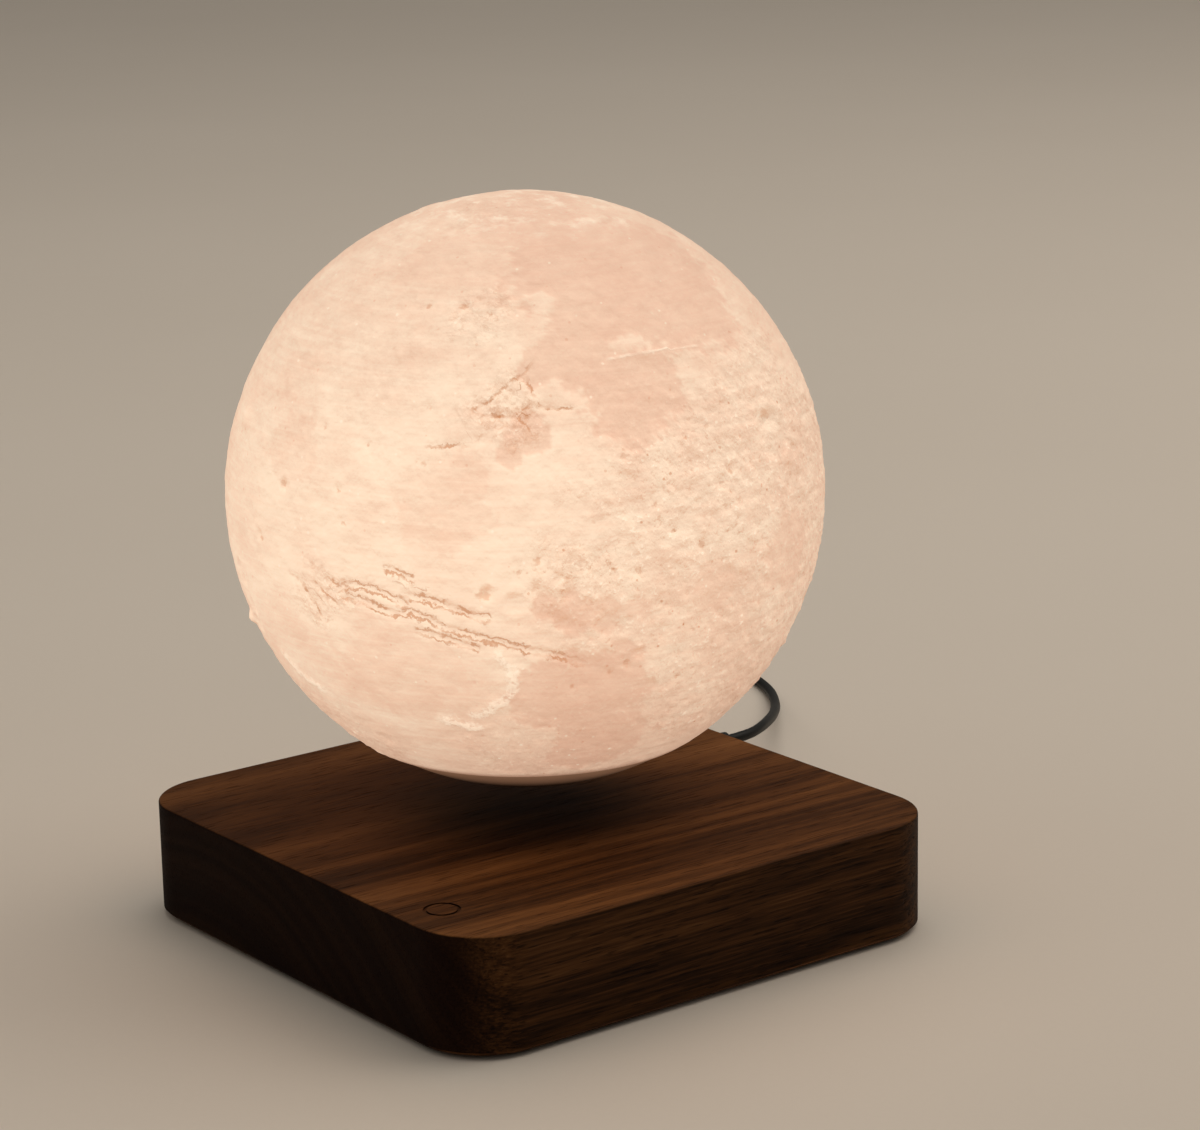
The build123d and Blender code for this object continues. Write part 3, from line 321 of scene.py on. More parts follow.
def walnut():
    """Dark oiled walnut cut along Y: rings about a far pith, streaks, fibres, pores, and end grain darker
    partly in its own tone and partly as painted shade, with the upright faces darkened as painted shade.
    """
    f = Finish("walnut", Specular_IOR_Level=0.06)
    x, y, z = f.axes()
    _, facing_y, facing_z = f.axes(f.facing())
    end_grain_and_shade = abs(facing_y).rise(0.40, 0.88)
    upright = abs(facing_z).rise(0.85, 0.35)

    wander = f.clouds(f.stretched(9.0, 2.2, 9.0), 1.0, 3.0)
    ripple = f.clouds(f.stretched(60.0, 9.0, 60.0), 1.0, 3.0)
    from_pith_x = x - PITH_PLACE[0] * MM + (wander - 0.5) * (PITH_WANDER * MM)
    from_pith_z = z - PITH_PLACE[1] * MM
    from_pith = (from_pith_x * from_pith_x + from_pith_z * from_pith_z).root()
    ring = from_pith + ripple * (RING_RIPPLE * MM)
    streak = f.clouds(f.joined(ring * 250.0, y * 2.6, 0.0), 1.0, 3.0, 0.56)
    broad = f.clouds(f.joined(ring * 56.0, y * 1.6, 3.0), 1.0, 2.0)
    fibre = f.clouds(f.stretched(1500.0, 42.0, 1500.0), 1.0, 3.0, 0.6)
    pore = f.clouds(f.stretched(1900.0, 130.0, 1900.0), 1.0, 1.0).rise(0.58, 0.70)
    tone = streak * 0.60 + broad * 0.72 - 0.18 + (fibre - 0.5) * (0.26 + 0.30 * upright)
    wood = f.stops(
        tone,
        (0.30, (0.0230, 0.0080, 0.0024)),
        (0.41, (0.0640, 0.0234, 0.0066)),
        (0.50, (0.1270, 0.0480, 0.0134)),
        (0.59, (0.1960, 0.0785, 0.0230)),
        (0.70, (0.2900, 0.1250, 0.0410)),
    )
    open_pore = pore * (0.40 + 0.15 * upright) * (1.0 - end_grain_and_shade * 0.6)
    wood = f.blend(open_pore, wood, (0.008, 0.0035, 0.0018))
    # Painted shade: the faces that stand upright are darkened
    wood = f.blend(upright, wood, (0.42, 0.42, 0.42), "MULTIPLY")
    # The end grain is darkened nearly to black: partly its own darker tone, partly painted shade
    wood = f.blend(end_grain_and_shade * 0.86, wood, (0.0070, 0.0016, 0.0006))

    # The engraved touch ring is burnt a little darker
    off_x = x - TOUCH_PLACE[0] * MM
    off_y = y - TOUCH_PLACE[1] * MM
    from_touch = (off_x * off_x + off_y * off_y).root()
    burn = from_touch.zone((TOUCH_INNER - TOUCH_EDGE, TOUCH_INNER))
    burn = burn * from_touch.zone((TOUCH_OUTER + TOUCH_EDGE, TOUCH_OUTER))
    burn = burn * z.zone((WOOD_TOP - 1.5, WOOD_TOP - 1.0))
    wood = f.blend(burn * 0.30, wood, (0.006, 0.003, 0.002))
    f.bump(fibre * 0.5 - pore * 0.8 + streak * 0.2, 0.10 * MM)
    return f.finish(
        Base_Color=wood,
        Roughness=0.54 + 0.12 * fibre + 0.16 * pore - 0.08 * streak + 0.12 * end_grain_and_shade,
    )


# The direction in which the globe is brightest, as painted light
PAINTED_BRIGHT_SIDE = (0.566, -0.812, 0.139)
# The globe's zones by height in millimetres: where each begins, and where it is full
# The low and high zones darken the glow and make it rosier towards the bottom and the top, as painted shade
LOW_SHADE_ZONE = (110.0, 48.0)
HIGH_SHADE_ZONE = (128.0, 186.0)
FROST_ZONE = (180.0, 186.5)
RIM_ZONE = (53.4, 51.3)
# The globe's colours
CREAM = (0.780, 0.595, 0.435)
ROSE = (0.705, 0.470, 0.332)
DEEP_ROSE = (0.625, 0.365, 0.250)
SLOPE_SHADE = (0.560, 0.285, 0.155)
CREVICE_SHADE_BROWN = (0.480, 0.200, 0.088)
PALE_HIGHLIGHT_AND_FROST = (0.900, 0.735, 0.560)
RIM_BROWN = (0.260, 0.130, 0.080)
# Cracks that show as two walls with a floor between them
WALLED_CRACKS = ("upper", "lower", "short")
# Cloudy noise of the small and the larger lumps: scale, detail and roughness
GRIT = (640.0, 4.0, 0.66)
KNOBS = (230.0, 4.0, 0.60)
# Steps up the lamp, in millimetres, over which the lumps' slopes are taken
GRIT_STEP = 0.30
KNOB_STEP = 0.70
# The frost's lower edge wanders by this many millimetres
FROST_WANDER = 10.0


def relief_slopes(f, rise, rough, maze):
    """The relief's grit and knobs, and its light: above zero on slopes that face up, below on others."""
    grit = f.clouds(f.place, *GRIT)
    knob = f.clouds(f.place, *KNOBS)
    grit_slope = grit - f.clouds(f.raised(GRIT_STEP * MM), *GRIT)
    knob_slope = knob - f.clouds(f.raised(KNOB_STEP * MM), *KNOBS)
    _, _, facing_z = f.axes(f.facing())
    lit = (facing_z - rise) * 0.60
    lit = lit + grit_slope * (rough * 0.32 + maze * 0.36 + 0.38)
    lit = lit + knob_slope * (rough * 0.06 + maze * 0.42 + 0.32)
    return grit, knob, lit


def relief_cracks(f, jag, stroke, maze):
    """Brown strokes of painted shade: fine cracks, the walls of wide ones, and a web in the mazes."""
    crack = abs(f.stored("crack_fine") + jag * 3.2).rise(0.62, 0.12)
    crack = crack * f.stored("on_fine") * (0.25 + 0.75 * stroke)
    for name in WALLED_CRACKS:
        opened = f.stored("on_" + name)
        off = abs(f.stored("crack_" + name) + jag * 4.4)
        wall = abs(off - (0.42 + 0.42 * opened)).rise(0.50, 0.12) * opened.rise(0.15, 0.75)
        crack = crack.larger(wall * (0.22 + 0.78 * stroke))
    web = abs(f.clouds(f.place, 260.0, 4.0, 0.62) - 0.5).rise(0.070, 0.022)
    return crack.larger(web * maze * stroke * 0.40)


def relief_crests(f, jag, stroke, grit):
    """Pale strokes of painted highlight: the straight scratch and the crests of the ridges."""
    scratch = abs(f.stored("crack_scratch") + jag * 0.7).rise(0.60, 0.14)
    scratch = scratch * f.stored("on_scratch") * (0.35 + 0.65 * stroke)
    ridge = abs(f.stored("crack_ridge") + jag * 6.0).rise(1.9, 0.5) * f.stored("on_ridge")
    return scratch.larger(ridge * grit.rise(0.36, 0.52))


def relief_plastic():
    """Printed plastic lit from inside: cream glow, rosy plains, cracks, pits and layer lines, with painted
    light and shade across it and on its slopes, cracks, pits and crests.
    """
    f = Finish("relief_plastic", Emission_Strength=1.0, Specular_IOR_Level=0.25)
    x, y, z = f.axes()
    per_radius = 1.0 / (GLOBE_RADIUS * MM)
    rise = (z - GLOBE_MIDDLE * MM) * per_radius
    plain = f.stored("plain")
    rough = f.stored("rough")
    maze = f.stored("maze")
    broken = rough.larger(maze)
    grit, knob, lit = relief_slopes(f, rise, rough, maze)

    # Marks: cracks, pocks and pits that carry painted shade, crests and flecks that carry painted
    # highlights, frost and dots
    jag = f.clouds(f.place, 430.0, 4.0, 0.68) - 0.5
    stroke = f.clouds(f.place, 310.0, 2.0).rise(0.38, 0.58)
    crack = relief_cracks(f, jag, stroke, maze)
    crest = relief_crests(f, jag, stroke, grit)
    frost = f.clouds(f.stretched(135.0, 135.0, 560.0), 1.0, 5.0, 0.70).rise(0.46, 0.66)
    frost = frost * (z + (knob - 0.5) * (FROST_WANDER * MM)).zone(FROST_ZONE)
    pock = f.stored("pock")
    pock = (pock + jag * 2.2) * pock.rise(0.02, 0.20)
    dots = f.cells(f.place, 430.0)
    chance, _, _ = f.axes(dots.part("Color"))
    dot = (dots + jag * 0.25).rise(0.20, 0.10)
    pit = grit.rise(0.46, 0.34) * knob.rise(0.56, 0.42)
    fleck = grit.rise(0.55, 0.66) * knob.rise(0.44, 0.58)

    # From cream to rose
    mottle = f.clouds(f.place, 58.0, 5.0, 0.62)
    smear = f.clouds(f.stretched(70.0, 70.0, 260.0), 1.0, 5.0, 0.65)
    blotch = f.clouds(f.place, 125.0, 3.0, 0.60)
    layer = f.clouds(f.stretched(55.0, 55.0, 1250.0), 1.0, 3.0, 0.6)
    # Painted light and shade: darker and rosier with the angle from the painted bright side
    away = 1.0 - (x * PAINTED_BRIGHT_SIDE[0] + y * PAINTED_BRIGHT_SIDE[1]) * per_radius - rise * PAINTED_BRIGHT_SIDE[2]
    # Painted shade towards the bottom and the top
    low = z.zone(LOW_SHADE_ZONE)
    high = z.zone(HIGH_SHADE_ZONE)
    rosy = plain * 0.52 + (mottle - 0.5) + (smear - 0.5) * 0.5 + (layer - 0.5) * 0.60
    rosy = rosy + 0.10 + away * 0.20 + low * 0.30 + high * 0.14
    rosy = rosy + rough * (0.08 + (blotch - 0.5) * 0.70)
    colour = f.stops(rosy, (0.0, CREAM), (0.45, ROSE), (1.0, DEEP_ROSE))

    # Painted shade on slopes, brown painted shade in cracks and pits beside brown specks, pale painted
    # highlights beside pale frost and specks, and painted shade on the rim where the ledge stops the light
    colour = f.blend((0.0 - lit).rise(0.0, 0.30) * 0.75, colour, SLOPE_SHADE)
    crevice_shade_and_specks = crack * 0.72 + pit * (rough * 0.24 + maze * 0.22 + 0.04) + pock.rise(0.42, 0.95) * 0.44
    crevice_shade_and_specks = crevice_shade_and_specks + dot * chance.rise(0.14, 0.08) * (0.24 + rough * 0.34)
    colour = f.blend(crevice_shade_and_specks, colour, CREVICE_SHADE_BROWN)
    # Painted highlights on bumps and crests, with pale frost and random pale dots
    pale = fleck * (broken * 0.50 + 0.08) + crest * 0.55 + frost * 0.70
    pale = pale + dot * chance.rise(0.84, 0.90) * 0.55
    colour = f.blend(pale, colour, PALE_HIGHLIGHT_AND_FROST)
    colour = f.blend(z.zone(RIM_ZONE) * 0.70, colour, RIM_BROWN)
    # Painted shade: the glow darkens away from the painted bright side and towards the top and the bottom
    shade = 1.120 - away * 0.26 - high * 0.11 - low * 0.14 - rough * 0.02
    # Painted light on heights and slopes that face up, and painted shade in hollows
    shade = shade + f.stored("relief") * 0.10 + lit.larger(-0.05) * 0.95
    glow = f.node("ShaderNodeVectorMath", {"operation": "SCALE"}, {0: colour, "Scale": shade})

    height = grit * (broken * 0.85 + 0.12) + knob * (broken * 1.1 + 0.3)
    f.bump(height + layer * 0.12 - crack * 0.7 + crest * 0.4, 0.60 * MM)
    return f.finish(
        Base_Color=f.blend(crevice_shade_and_specks, (0.50, 0.38, 0.30), (0.24, 0.11, 0.05)),
        Emission_Color=glow,
        Roughness=0.62 + 0.14 * grit,
    )


# The cap's light begins at this radius in millimetres, and is full at the next
CAP_LEAK = (27.0, 42.0)


def cap_plastic():
    """Smooth brown cap, with painted glow where light leaks in under its edge."""
    f = Finish("cap_plastic", Emission_Strength=1.0, Coat_Weight=0.15, Coat_Roughness=0.3)
    x, y, _ = f.axes()
    cloud = f.clouds(f.place, 120.0, 3.0)
    spark = f.clouds(f.place, 1800.0, 2.0)
    leak = (x * x + y * y).root().zone(CAP_LEAK) * (0.80 + 0.20 * cloud)
    f.bump(spark, 0.01 * MM)
    return f.finish(
        Base_Color=f.blend(cloud, (0.070, 0.036, 0.019), (0.100, 0.054, 0.030)),
        Emission_Color=f.blend(leak, (0.003, 0.0015, 0.0008), (0.205, 0.103, 0.058)),
        Roughness=0.40 + 0.12 * cloud,
    )


def light_resin():
    """Yellow phosphor of a light chip, a little uneven."""
    f = Finish("light_resin", Emission_Strength=4.0, Coat_Weight=0.4)
    cloud = f.clouds(f.place, 700.0, 2.0)
    return f.finish(
        Base_Color=f.blend(cloud, (0.85, 0.62, 0.20), (0.95, 0.80, 0.42)),
        Emission_Color=f.blend(cloud, (1.0, 0.72, 0.42), (1.0, 0.82, 0.55)),
        Roughness=0.25 + 0.1 * cloud,
    )


FINISHES = {
    "walnut": walnut(),
    "cover_plastic": moulded("cover_plastic", (0.012, 0.012, 0.012), (0.028, 0.027, 0.026), 0.62),
    "foot_rubber": moulded("foot_rubber", (0.016, 0.016, 0.016), (0.036, 0.035, 0.034), 0.80, 0.8, 0.04),
    "zinc_steel": plated("zinc_steel", (0.36, 0.35, 0.33), (0.62, 0.61, 0.60), 0.30),
    "board_laminate": laminate("board_laminate", (0.008, 0.055, 0.022), (0.030, 0.150, 0.060)),
    "white_board": laminate("white_board", (0.70, 0.70, 0.68), (0.84, 0.84, 0.82)),
    "chip_epoxy": moulded("chip_epoxy", (0.012, 0.012, 0.013), (0.030, 0.030, 0.031), 0.55, 0.3),
    "tray_plastic": moulded("tray_plastic", (0.045, 0.046, 0.048), (0.085, 0.086, 0.090), 0.58),
    "ferrite": sintered("ferrite", (0.022, 0.022, 0.024), (0.075, 0.074, 0.076), 0.55, 0.0),
    "coil_copper": wound("coil_copper", 0.5, False),
    "flat_copper": wound("flat_copper", 0.7, True),
    "core_iron": sintered("core_iron", (0.14, 0.14, 0.14), (0.34, 0.33, 0.32), 0.40, 0.8),
    "bobbin_nylon": moulded("bobbin_nylon", (0.62, 0.60, 0.54), (0.78, 0.76, 0.70), 0.45),
    "jack_plastic": moulded("jack_plastic", (0.010, 0.010, 0.010), (0.024, 0.024, 0.024), 0.34, 0.3),
    "relief_plastic": relief_plastic(),
    "cap_plastic": cap_plastic(),
    "magnet_nickel": plated("magnet_nickel", (0.42, 0.41, 0.38), (0.68, 0.67, 0.64), 0.20),
    "light_resin": light_resin(),
    "plug_nickel": plated("plug_nickel", (0.48, 0.47, 0.44), (0.74, 0.73, 0.71), 0.16),
    "cord_vinyl": moulded(
        "cord_vinyl",
        (0.0040, 0.0038, 0.0034),
        (0.0095, 0.0090, 0.0080),
        0.50,
        0.6,
        0.03,
        Specular_IOR_Level=0.25,
    ),
    "adapter_plastic": moulded(
        "adapter_plastic", (0.011, 0.011, 0.011), (0.024, 0.024, 0.024), 0.60, 0.9, 0.05
    ),
}
FLAT_COILS = ("sender_coil", "receiver_coil")


def dress(piece, finish):
    """Gives a piece its one finish."""
    piece.data.materials.clear()
    piece.data.materials.append(FINISHES[finish])


for row in frame["record"]["subparts"]:
    dress(nodes[row["node"]], "flat_copper" if row["node"] in FLAT_COILS else row["material_slot"])


# The power lead repeats the route of its solids
LEAD_EXIT = (-46.0, 101.0, 15.95)
FREE_ROUTE = (
    LEAD_EXIT,
    (-46.0, 109.0, 15.95),
    (-50.8, 117.6, 15.3),
    (-59.2, 127.2, 13.3),
    (-70.6, 138.6, 10.0),
    (-84.2, 151.2, 6.3),
    (-99.0, 163.6, 3.3),
    (-115.0, 174.4, 1.7),
    (-132.0, 180.2, 1.5),
    (-149.0, 179.0, 1.5),
    (-162.5, 172.8, 1.6),
    (-171.0, 163.5, 2.3),
    (-175.0, 153.5, 2.9),
)
COIL_MIDDLE = (-153.9, 145.0)
COIL_BOTTOM = 2.9
LOOP_PITCH = 4.1
LOOP_OUTER = 21.1
LOOP_INNER = 12.9
LOOP_LAYERS = 4
LAYER_HALF_TURNS = 4
HALF_TURN_POINTS = 9
TAIL_ROUTE = (
    (-172.95, 145.0, 15.2),
    (-172.95, 135.5, 15.2),
    (-174.4, 124.0, 14.2),
    (-174.5, 111.5, 14.0),
    (-172.8, 100.4, 13.9),
    (-169.8, 94.0, 13.9),
    (-165.0, 89.4, 13.9),
    (-158.9, 87.0, 14.0),
    (-152.5, 87.0, 14.0),
)


def coil_crossings():
    """Where the stored coil crosses its middle line: side and height, half a turn apart."""
    crossings = [(-LOOP_OUTER, COIL_BOTTOM)]
    side = -1
    for layer in range(LOOP_LAYERS):
        height = COIL_BOTTOM + layer * LOOP_PITCH
        inward = layer % 2 == 0
        reach = LOOP_OUTER if inward else LOOP_INNER
        last = layer == LOOP_LAYERS - 1
        for _ in range(LAYER_HALF_TURNS - last):
            side = -side
            reach += -LOOP_PITCH / 2 if inward else LOOP_PITCH / 2
            crossings.append((side * reach, height))
        if not last:
            side = -side
            crossings.append((side * reach, height + LOOP_PITCH))
    return crossings


def coil_points():
    """The stored coil's turns, as points of the lead's own line."""
    spread = 1.0 / math.cos(math.pi / (2 * HALF_TURN_POINTS))
    points = []
    crossings = coil_crossings()
    for (start_x, start_z), (end_x, end_z) in zip(crossings, crossings[1:]):
        half = math.dist((start_x, start_z), (end_x, end_z)) / 2
        below = -1 if start_x < end_x else 1
        for step in range(HALF_TURN_POINTS):
            turn = math.pi * (step + 0.5) / HALF_TURN_POINTS
            share = (1 - math.cos(turn) * spread) / 2
            points.append(
                (
                    COIL_MIDDLE[0] + start_x + (end_x - start_x) * share,
                    COIL_MIDDLE[1] + below * half * math.sin(turn) * spread,
                    start_z + (end_z - start_z) * min(max(share, 0.0), 1.0),
                )
            )
    return points


def make_lead():
    """The cord from its plug through the stored coil to the wall adapter, as one smooth line."""
    data = bpy.data.curves.new("power_lead", "CURVE")
    data.dimensions = "3D"
    line = data.splines.new("NURBS")
    points = [*FREE_ROUTE, *coil_points(), *TAIL_ROUTE[1:]]
    line.points.add(len(points) - 1)
    for spot, point in zip(line.points, points):
        spot.co = (*(MM * number for number in point), 1.0)
    line.order_u = 3
    line.use_endpoint_u = True
    line.resolution_u = 4
    data.bevel_depth = CORD_DIAMETER * MM / 2
    data.bevel_resolution = 3
    lead = bpy.data.objects.new("power_lead", data)
    bpy.context.scene.collection.objects.link(lead)
    dress(lead, "cord_vinyl")
    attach(lead, "base")
    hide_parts("power_cord", "cord_coil", "cord_tail")


make_lead()

# The relief, placed by longitude and latitude in degrees
UPPER_CRACKS = (
    ((-73.8, -7.2), (-70.0, -5.5), (-65.7, -5.6), (-62.2, -6.6), (-59.6, -7.7), (-57.3, -8.3)),
    ((-57.9, -12.9), (-54.1, -13.8), (-51.6, -14.3), (-47.3, -15.8), (-44.5, -16.4)),
    ((148.0, 24.0), (138.0, 19.0), (131.0, 18.5), (122.0, 12.0), (116.0, 11.0)),
)
LOWER_CRACKS = (
    (
        (-73.0, -7.7),
        (-67.7, -8.2),
        (-64.1, -9.4),
        (-60.6, -10.1),
        (-57.5, -9.5),
        (-54.2, -10.8),
        (-51.4, -12.4),
        (-48.8, -12.8),
        (-46.0, -13.6),
        (-43.5, -14.5),
        (-41.0, -14.9),
        (-38.2, -16.1),
        (-35.7, -16.8),
        (-32.1, -17.6),
        (-28.3, -18.9),
        (-24.4, -20.8),
    ),
    ((146.0, 20.0), (137.0, 15.5), (127.0, 12.5), (119.0, 7.0)),
)
SHORT_CRACKS = (
    (
        (-59.4, -6.1),
        (-56.4, -6.5),
        (-53.5, -7.0),
        (-49.9, -8.0),
        (-46.8, -9.5),
        (-43.6, -10.0),
        (-41.9, -10.6),
    ),
    ((-63.0, -1.9), (-61.0, -1.6), (-59.5, -2.2), (-58.0, -3.0), (-55.8, -3.1)),
)
FINE_CRACKS = (
    ((-33.4, 37.5), (-35.3, 34.4), (-39.0, 32.2), (-42.8, 29.3), (-46.9, 27.1)),
    ((-35.3, 34.4), (-34.0, 30.5), (-33.4, 29.2)),
    ((-38.4, 27.5), (-33.9, 28.3), (-30.0, 27.8), (-25.2, 27.5)),
    ((-46.9, 27.1), (-40.4, 26.6), (-37.1, 26.1), (-35.0, 25.0), (-34.7, 22.8)),
    ((-43.6, 23.8), (-44.7, 22.0), (-45.6, 21.3)),
    ((-55.2, 20.6), (-49.8, 21.2), (-45.6, 21.3)),
    ((-85.5, -5.3), (-81.5, -6.9), (-79.1, -10.5), (-77.8, -13.3)),
    ((-79.5, -5.6), (-75.4, -8.3), (-72.2, -10.4)),
    ((-75.6, -4.4), (-72.8, -5.6), (-69.5, -5.8)),
    ((112.0, 40.0), (118.0, 36.0), (121.0, 31.0)),
    ((-158.0, 12.0), (-150.0, 9.0), (-143.0, 9.5)),
)
SCRATCHES = (((-17.5, 36.2), (-7.7, 36.6), (8.0, 36.2)),)
RIDGES = (
    ((-42.8, -16.6), (-39.9, -20.0), (-38.8, -23.7), (-40.3, -27.1), (-44.3, -30.5), (-49.8, -32.9)),
    ((-57.0, -33.0), (-52.0, -35.0), (-46.0, -36.0)),
    ((-99.0, -24.0), (-93.0, -29.0), (-86.0, -32.0)),
    ((168.0, 4.0), (161.0, 1.0), (155.0, 2.5)),
)
# Each set of strokes: its routes, and its height and half width in millimetres
STROKES = {
    "upper": (UPPER_CRACKS, -0.42, 0.85),
    "lower": (LOWER_CRACKS, -0.42, 0.85),
    "short": (SHORT_CRACKS, -0.42, 0.85),
    "fine": (FINE_CRACKS, -0.252, 0.70),
    "scratch": (SCRATCHES, 0.22, 0.75),
    "ridge": (RIDGES, 0.40, 1.5),
}
# Longitude, latitude, radius in degrees, and strength
PLAINS = (
    (-25.0, 70.0, 9.5, 0.8),
    (-16.0, 58.0, 12.7, 1.0),
    (-14.0, 48.8, 12.5, 1.0),
    (8.0, 56.0, 14.0, 1.0),
    (22.0, 58.0, 12.0, 0.8),
    (14.0, 44.0, 11.0, 0.9),
    (-22.5, 39.5, 9.0, 0.75),
    (-12.5, 29.8, 10.0, 0.95),
    (-33.0, 34.5, 3.2, 0.8),
    (-35.2, 23.2, 4.0, 0.95),
    (-38.5, 19.3, 2.4, 0.9),
    (-58.0, 57.0, 11.0, 0.35),
    (-18.0, 81.0, 10.0, 0.6),
    (-51.0, 11.0, 9.0, 0.35),
    (-86.0, 18.0, 8.0, 0.35),
    (21.5, -5.4, 8.0, 0.60),
    (0.4, -7.9, 5.0, 0.45),
    (-32.9, -8.1, 2.4, 0.9),
    (-27.5, -10.0, 4.0, 1.0),
    (-21.5, -10.3, 3.6, 0.8),
    (-15.5, -9.9, 3.2, 0.6),
    (-30.0, -27.0, 8.8, 0.9),
    (-21.0, -25.0, 9.0, 0.9),
    (-19.2, -41.2, 10.0, 0.8),
    (-62.0, -22.0, 12.0, 0.35),
    (150.0, 48.0, 26.0, 1.0),
    (95.0, 30.0, 17.0, 0.9),
    (178.0, -22.0, 20.0, 0.9),
    (75.0, -30.0, 13.0, 0.8),
)
HIGHLANDS = (
    (0.0, 2.0, 27.0, 1.0),
    (20.0, 12.0, 24.0, 0.9),
    (-18.0, -8.0, 16.0, 1.0),
    (10.0, -24.0, 24.0, 0.9),
    (45.0, -10.0, 34.0, 1.0),
    (85.0, -8.0, 30.0, 1.0),
    (125.0, -38.0, 34.0, 1.0),
    (-150.0, -40.0, 34.0, 0.9),
    (-100.0, -48.0, 16.0, 0.7),
    (-28.0, -42.0, 18.0, 0.45),
    (-50.0, 80.0, 9.0, 0.6),
)
MAZES = (
    (-77.5, -8.5, 6.0, 0.7),
    (-73.5, -8.0, 4.0, 0.9),
    (-40.0, 28.0, 6.0, 0.9),
    (-37.0, 24.5, 4.0, 0.8),
    (-47.0, 46.5, 5.5, 0.5),
    (-27.0, -4.0, 9.0, 0.45),
)
# Longitude and latitude in degrees, radius and height in millimetres
MOUNTS = (
    (-111.0, -20.3, 2.0, 1.4),
    (-108.0, 19.5, 5.0, 0.35),
    (-64.3, 37.2, 1.1, 0.4),
    (-128.0, 4.0, 4.6, 0.35),
)
# Longitude and latitude in degrees, and radius in millimetres
CRATERS = (
    (-86.9, 10.7, 1.9),
    (-72.5, 11.8, 1.3),
    (-94.8, 0.2, 1.7),
    (-81.6, 13.7, 0.9),
    (-106.9, -11.4, 2.2),
    (-37.9, 0.4, 1.1),
    (-43.0, -5.2, 2.2),
    (-30.2, -2.7, 1.8),
    (-28.3, 0.9, 1.4),
    (-14.6, -19.2, 2.0),
)
POCKS = (
    (-43.7, -5.6, 1.7),
    (-37.5, -1.5, 1.2),
    (-34.9, -4.7, 1.3),
    (-28.9, -2.7, 1.5),
    (-34.1, 0.7, 1.0),
    (-27.7, -25.2, 0.9),
    (-51.2, 48.2, 1.3),
    (-43.7, 46.5, 1.0),
    (-61.3, 47.9, 0.8),
    (-54.9, 27.8, 0.8),
    (-54.9, 17.7, 0.9),
    (-87.3, 10.6, 1.0),
    (-72.5, 11.4, 0.7),
    (-78.1, 22.4, 0.9),
    (-67.1, 20.4, 0.7),
    (-86.0, 32.9, 0.8),
    (-94.1, -0.6, 0.9),
    (-70.9, 5.9, 0.9),
    (9.9, 18.3, 0.7),
    (4.3, 17.1, 0.7),
    (8.0, 17.3, 0.65),
    (2.4, 14.7, 0.65),
    (5.1, 13.3, 0.9),
    (5.6, 12.3, 0.75),
    (3.1, 10.9, 0.8),
    (4.6, 9.1, 0.8),
    (3.3, 7.0, 0.85),
    (-3.7, 20.1, 0.65),
    (1.4, 19.7, 0.65),
    (-8.5, 3.8, 0.85),
    (0.0, 5.2, 0.75),
    (3.2, 2.2, 0.8),
    (-12.1, 9.0, 0.75),
    (-2.5, 0.5, 1.2),
    (-15.7, -2.4, 1.3),
    (-20.7, -1.9, 1.2),
    (-16.8, -21.2, 1.4),
    (-20.3, -22.6, 1.1),
    (-5.1, -26.1, 1.0),
    (112.0, 2.0, 1.6),
    (104.0, -12.0, 1.2),
    (-170.0, 30.0, 1.5),
    (-135.0, -14.0, 1.3),
)
# Heights of the wide forms, in millimetres
POCK_DEPTH = 0.294
PLAIN_DEPTH = 0.22
SWELL_HEIGHT = 0.30
# The globe's mesh: columns on each of its four sides, and rows of its smooth inner wall
SIDE_COLUMNS = 130
INNER_ROWS = 10
# The relief dies out over this angle above the rim, in radians
RIM_FADE = 0.035
# Strokes, in millimetres: the fades at their ends and sides, how far from a stretch its points are looked
# for, the distance where there is no stroke, and the farthest distance that is kept
STROKE_END_FADE = 2.0
STROKE_SIDE_FADE = (4.2, 2.2)
STROKE_SEARCH = 12.0
NO_STROKE = 30.0
FAR_FROM_STROKE = 8.0
# Random craters: their number and seed, radii in millimetres, and the rarity of large ones
CRATER_COUNT = 900
CRATER_SEED = 11
CRATER_SMALLEST = 0.9
CRATER_SPREAD = 1.1
CRATER_LARGEST = 7.0
CRATER_RARITY = 2.2
# Strength of the craters that were placed, and of the random ones
PLACED_STRENGTH = 1.1
RANDOM_STRENGTH = 0.55
# A crater's form in shares of its radius, which counts no further than the deepest radius in millimetres
CRATER_REACH = 1.9
BOWL_DEPTH = 0.20
WALL_HEIGHT = 0.11
WALL_PLACE = 1.05
WALL_WIDTH = 0.22
DEEPEST_RADIUS = 3.2


def direction(longitude, latitude):
    """The point of the unit globe at a longitude and latitude in degrees."""
    turn, climb = math.radians(longitude), math.radians(latitude)
    return np.array((math.cos(climb) * math.cos(turn), math.cos(climb) * math.sin(turn), math.sin(climb)))


def globe_directions(rim_latitude):
    """Points of the unit globe: four sides in columns and rows, and a square patch on top."""
    n = SIDE_COLUMNS
    quarter = math.pi / 4
    local = np.linspace(-quarter, quarter, n + 1)[:-1]
    turn = np.concatenate([local + side * math.pi / 2 for side in range(4)])
    top = np.tile(np.arctan(np.cos(local)), 4)
    rows = round(n * (quarter - rim_latitude) / (2 * quarter))
    share = np.linspace(0.0, 1.0, rows + 1)[:, None]
    climb = top[None, :] * (1 - share) + rim_latitude * share
    around = np.broadcast_to(turn[None, :], climb.shape)
    sides = np.stack([np.cos(climb) * np.cos(around), np.cos(climb) * np.sin(around), np.sin(climb)], -1)
    slope = np.tan(np.linspace(-quarter, quarter, n + 1))[1:-1]
    patch = np.stack([*np.meshgrid(slope, slope, indexing="ij"), np.ones((n - 1, n - 1))], -1)
    patch /= np.linalg.norm(patch, axis=-1, keepdims=True)
    return rows, sides.reshape(-1, 3), patch.reshape(-1, 3)


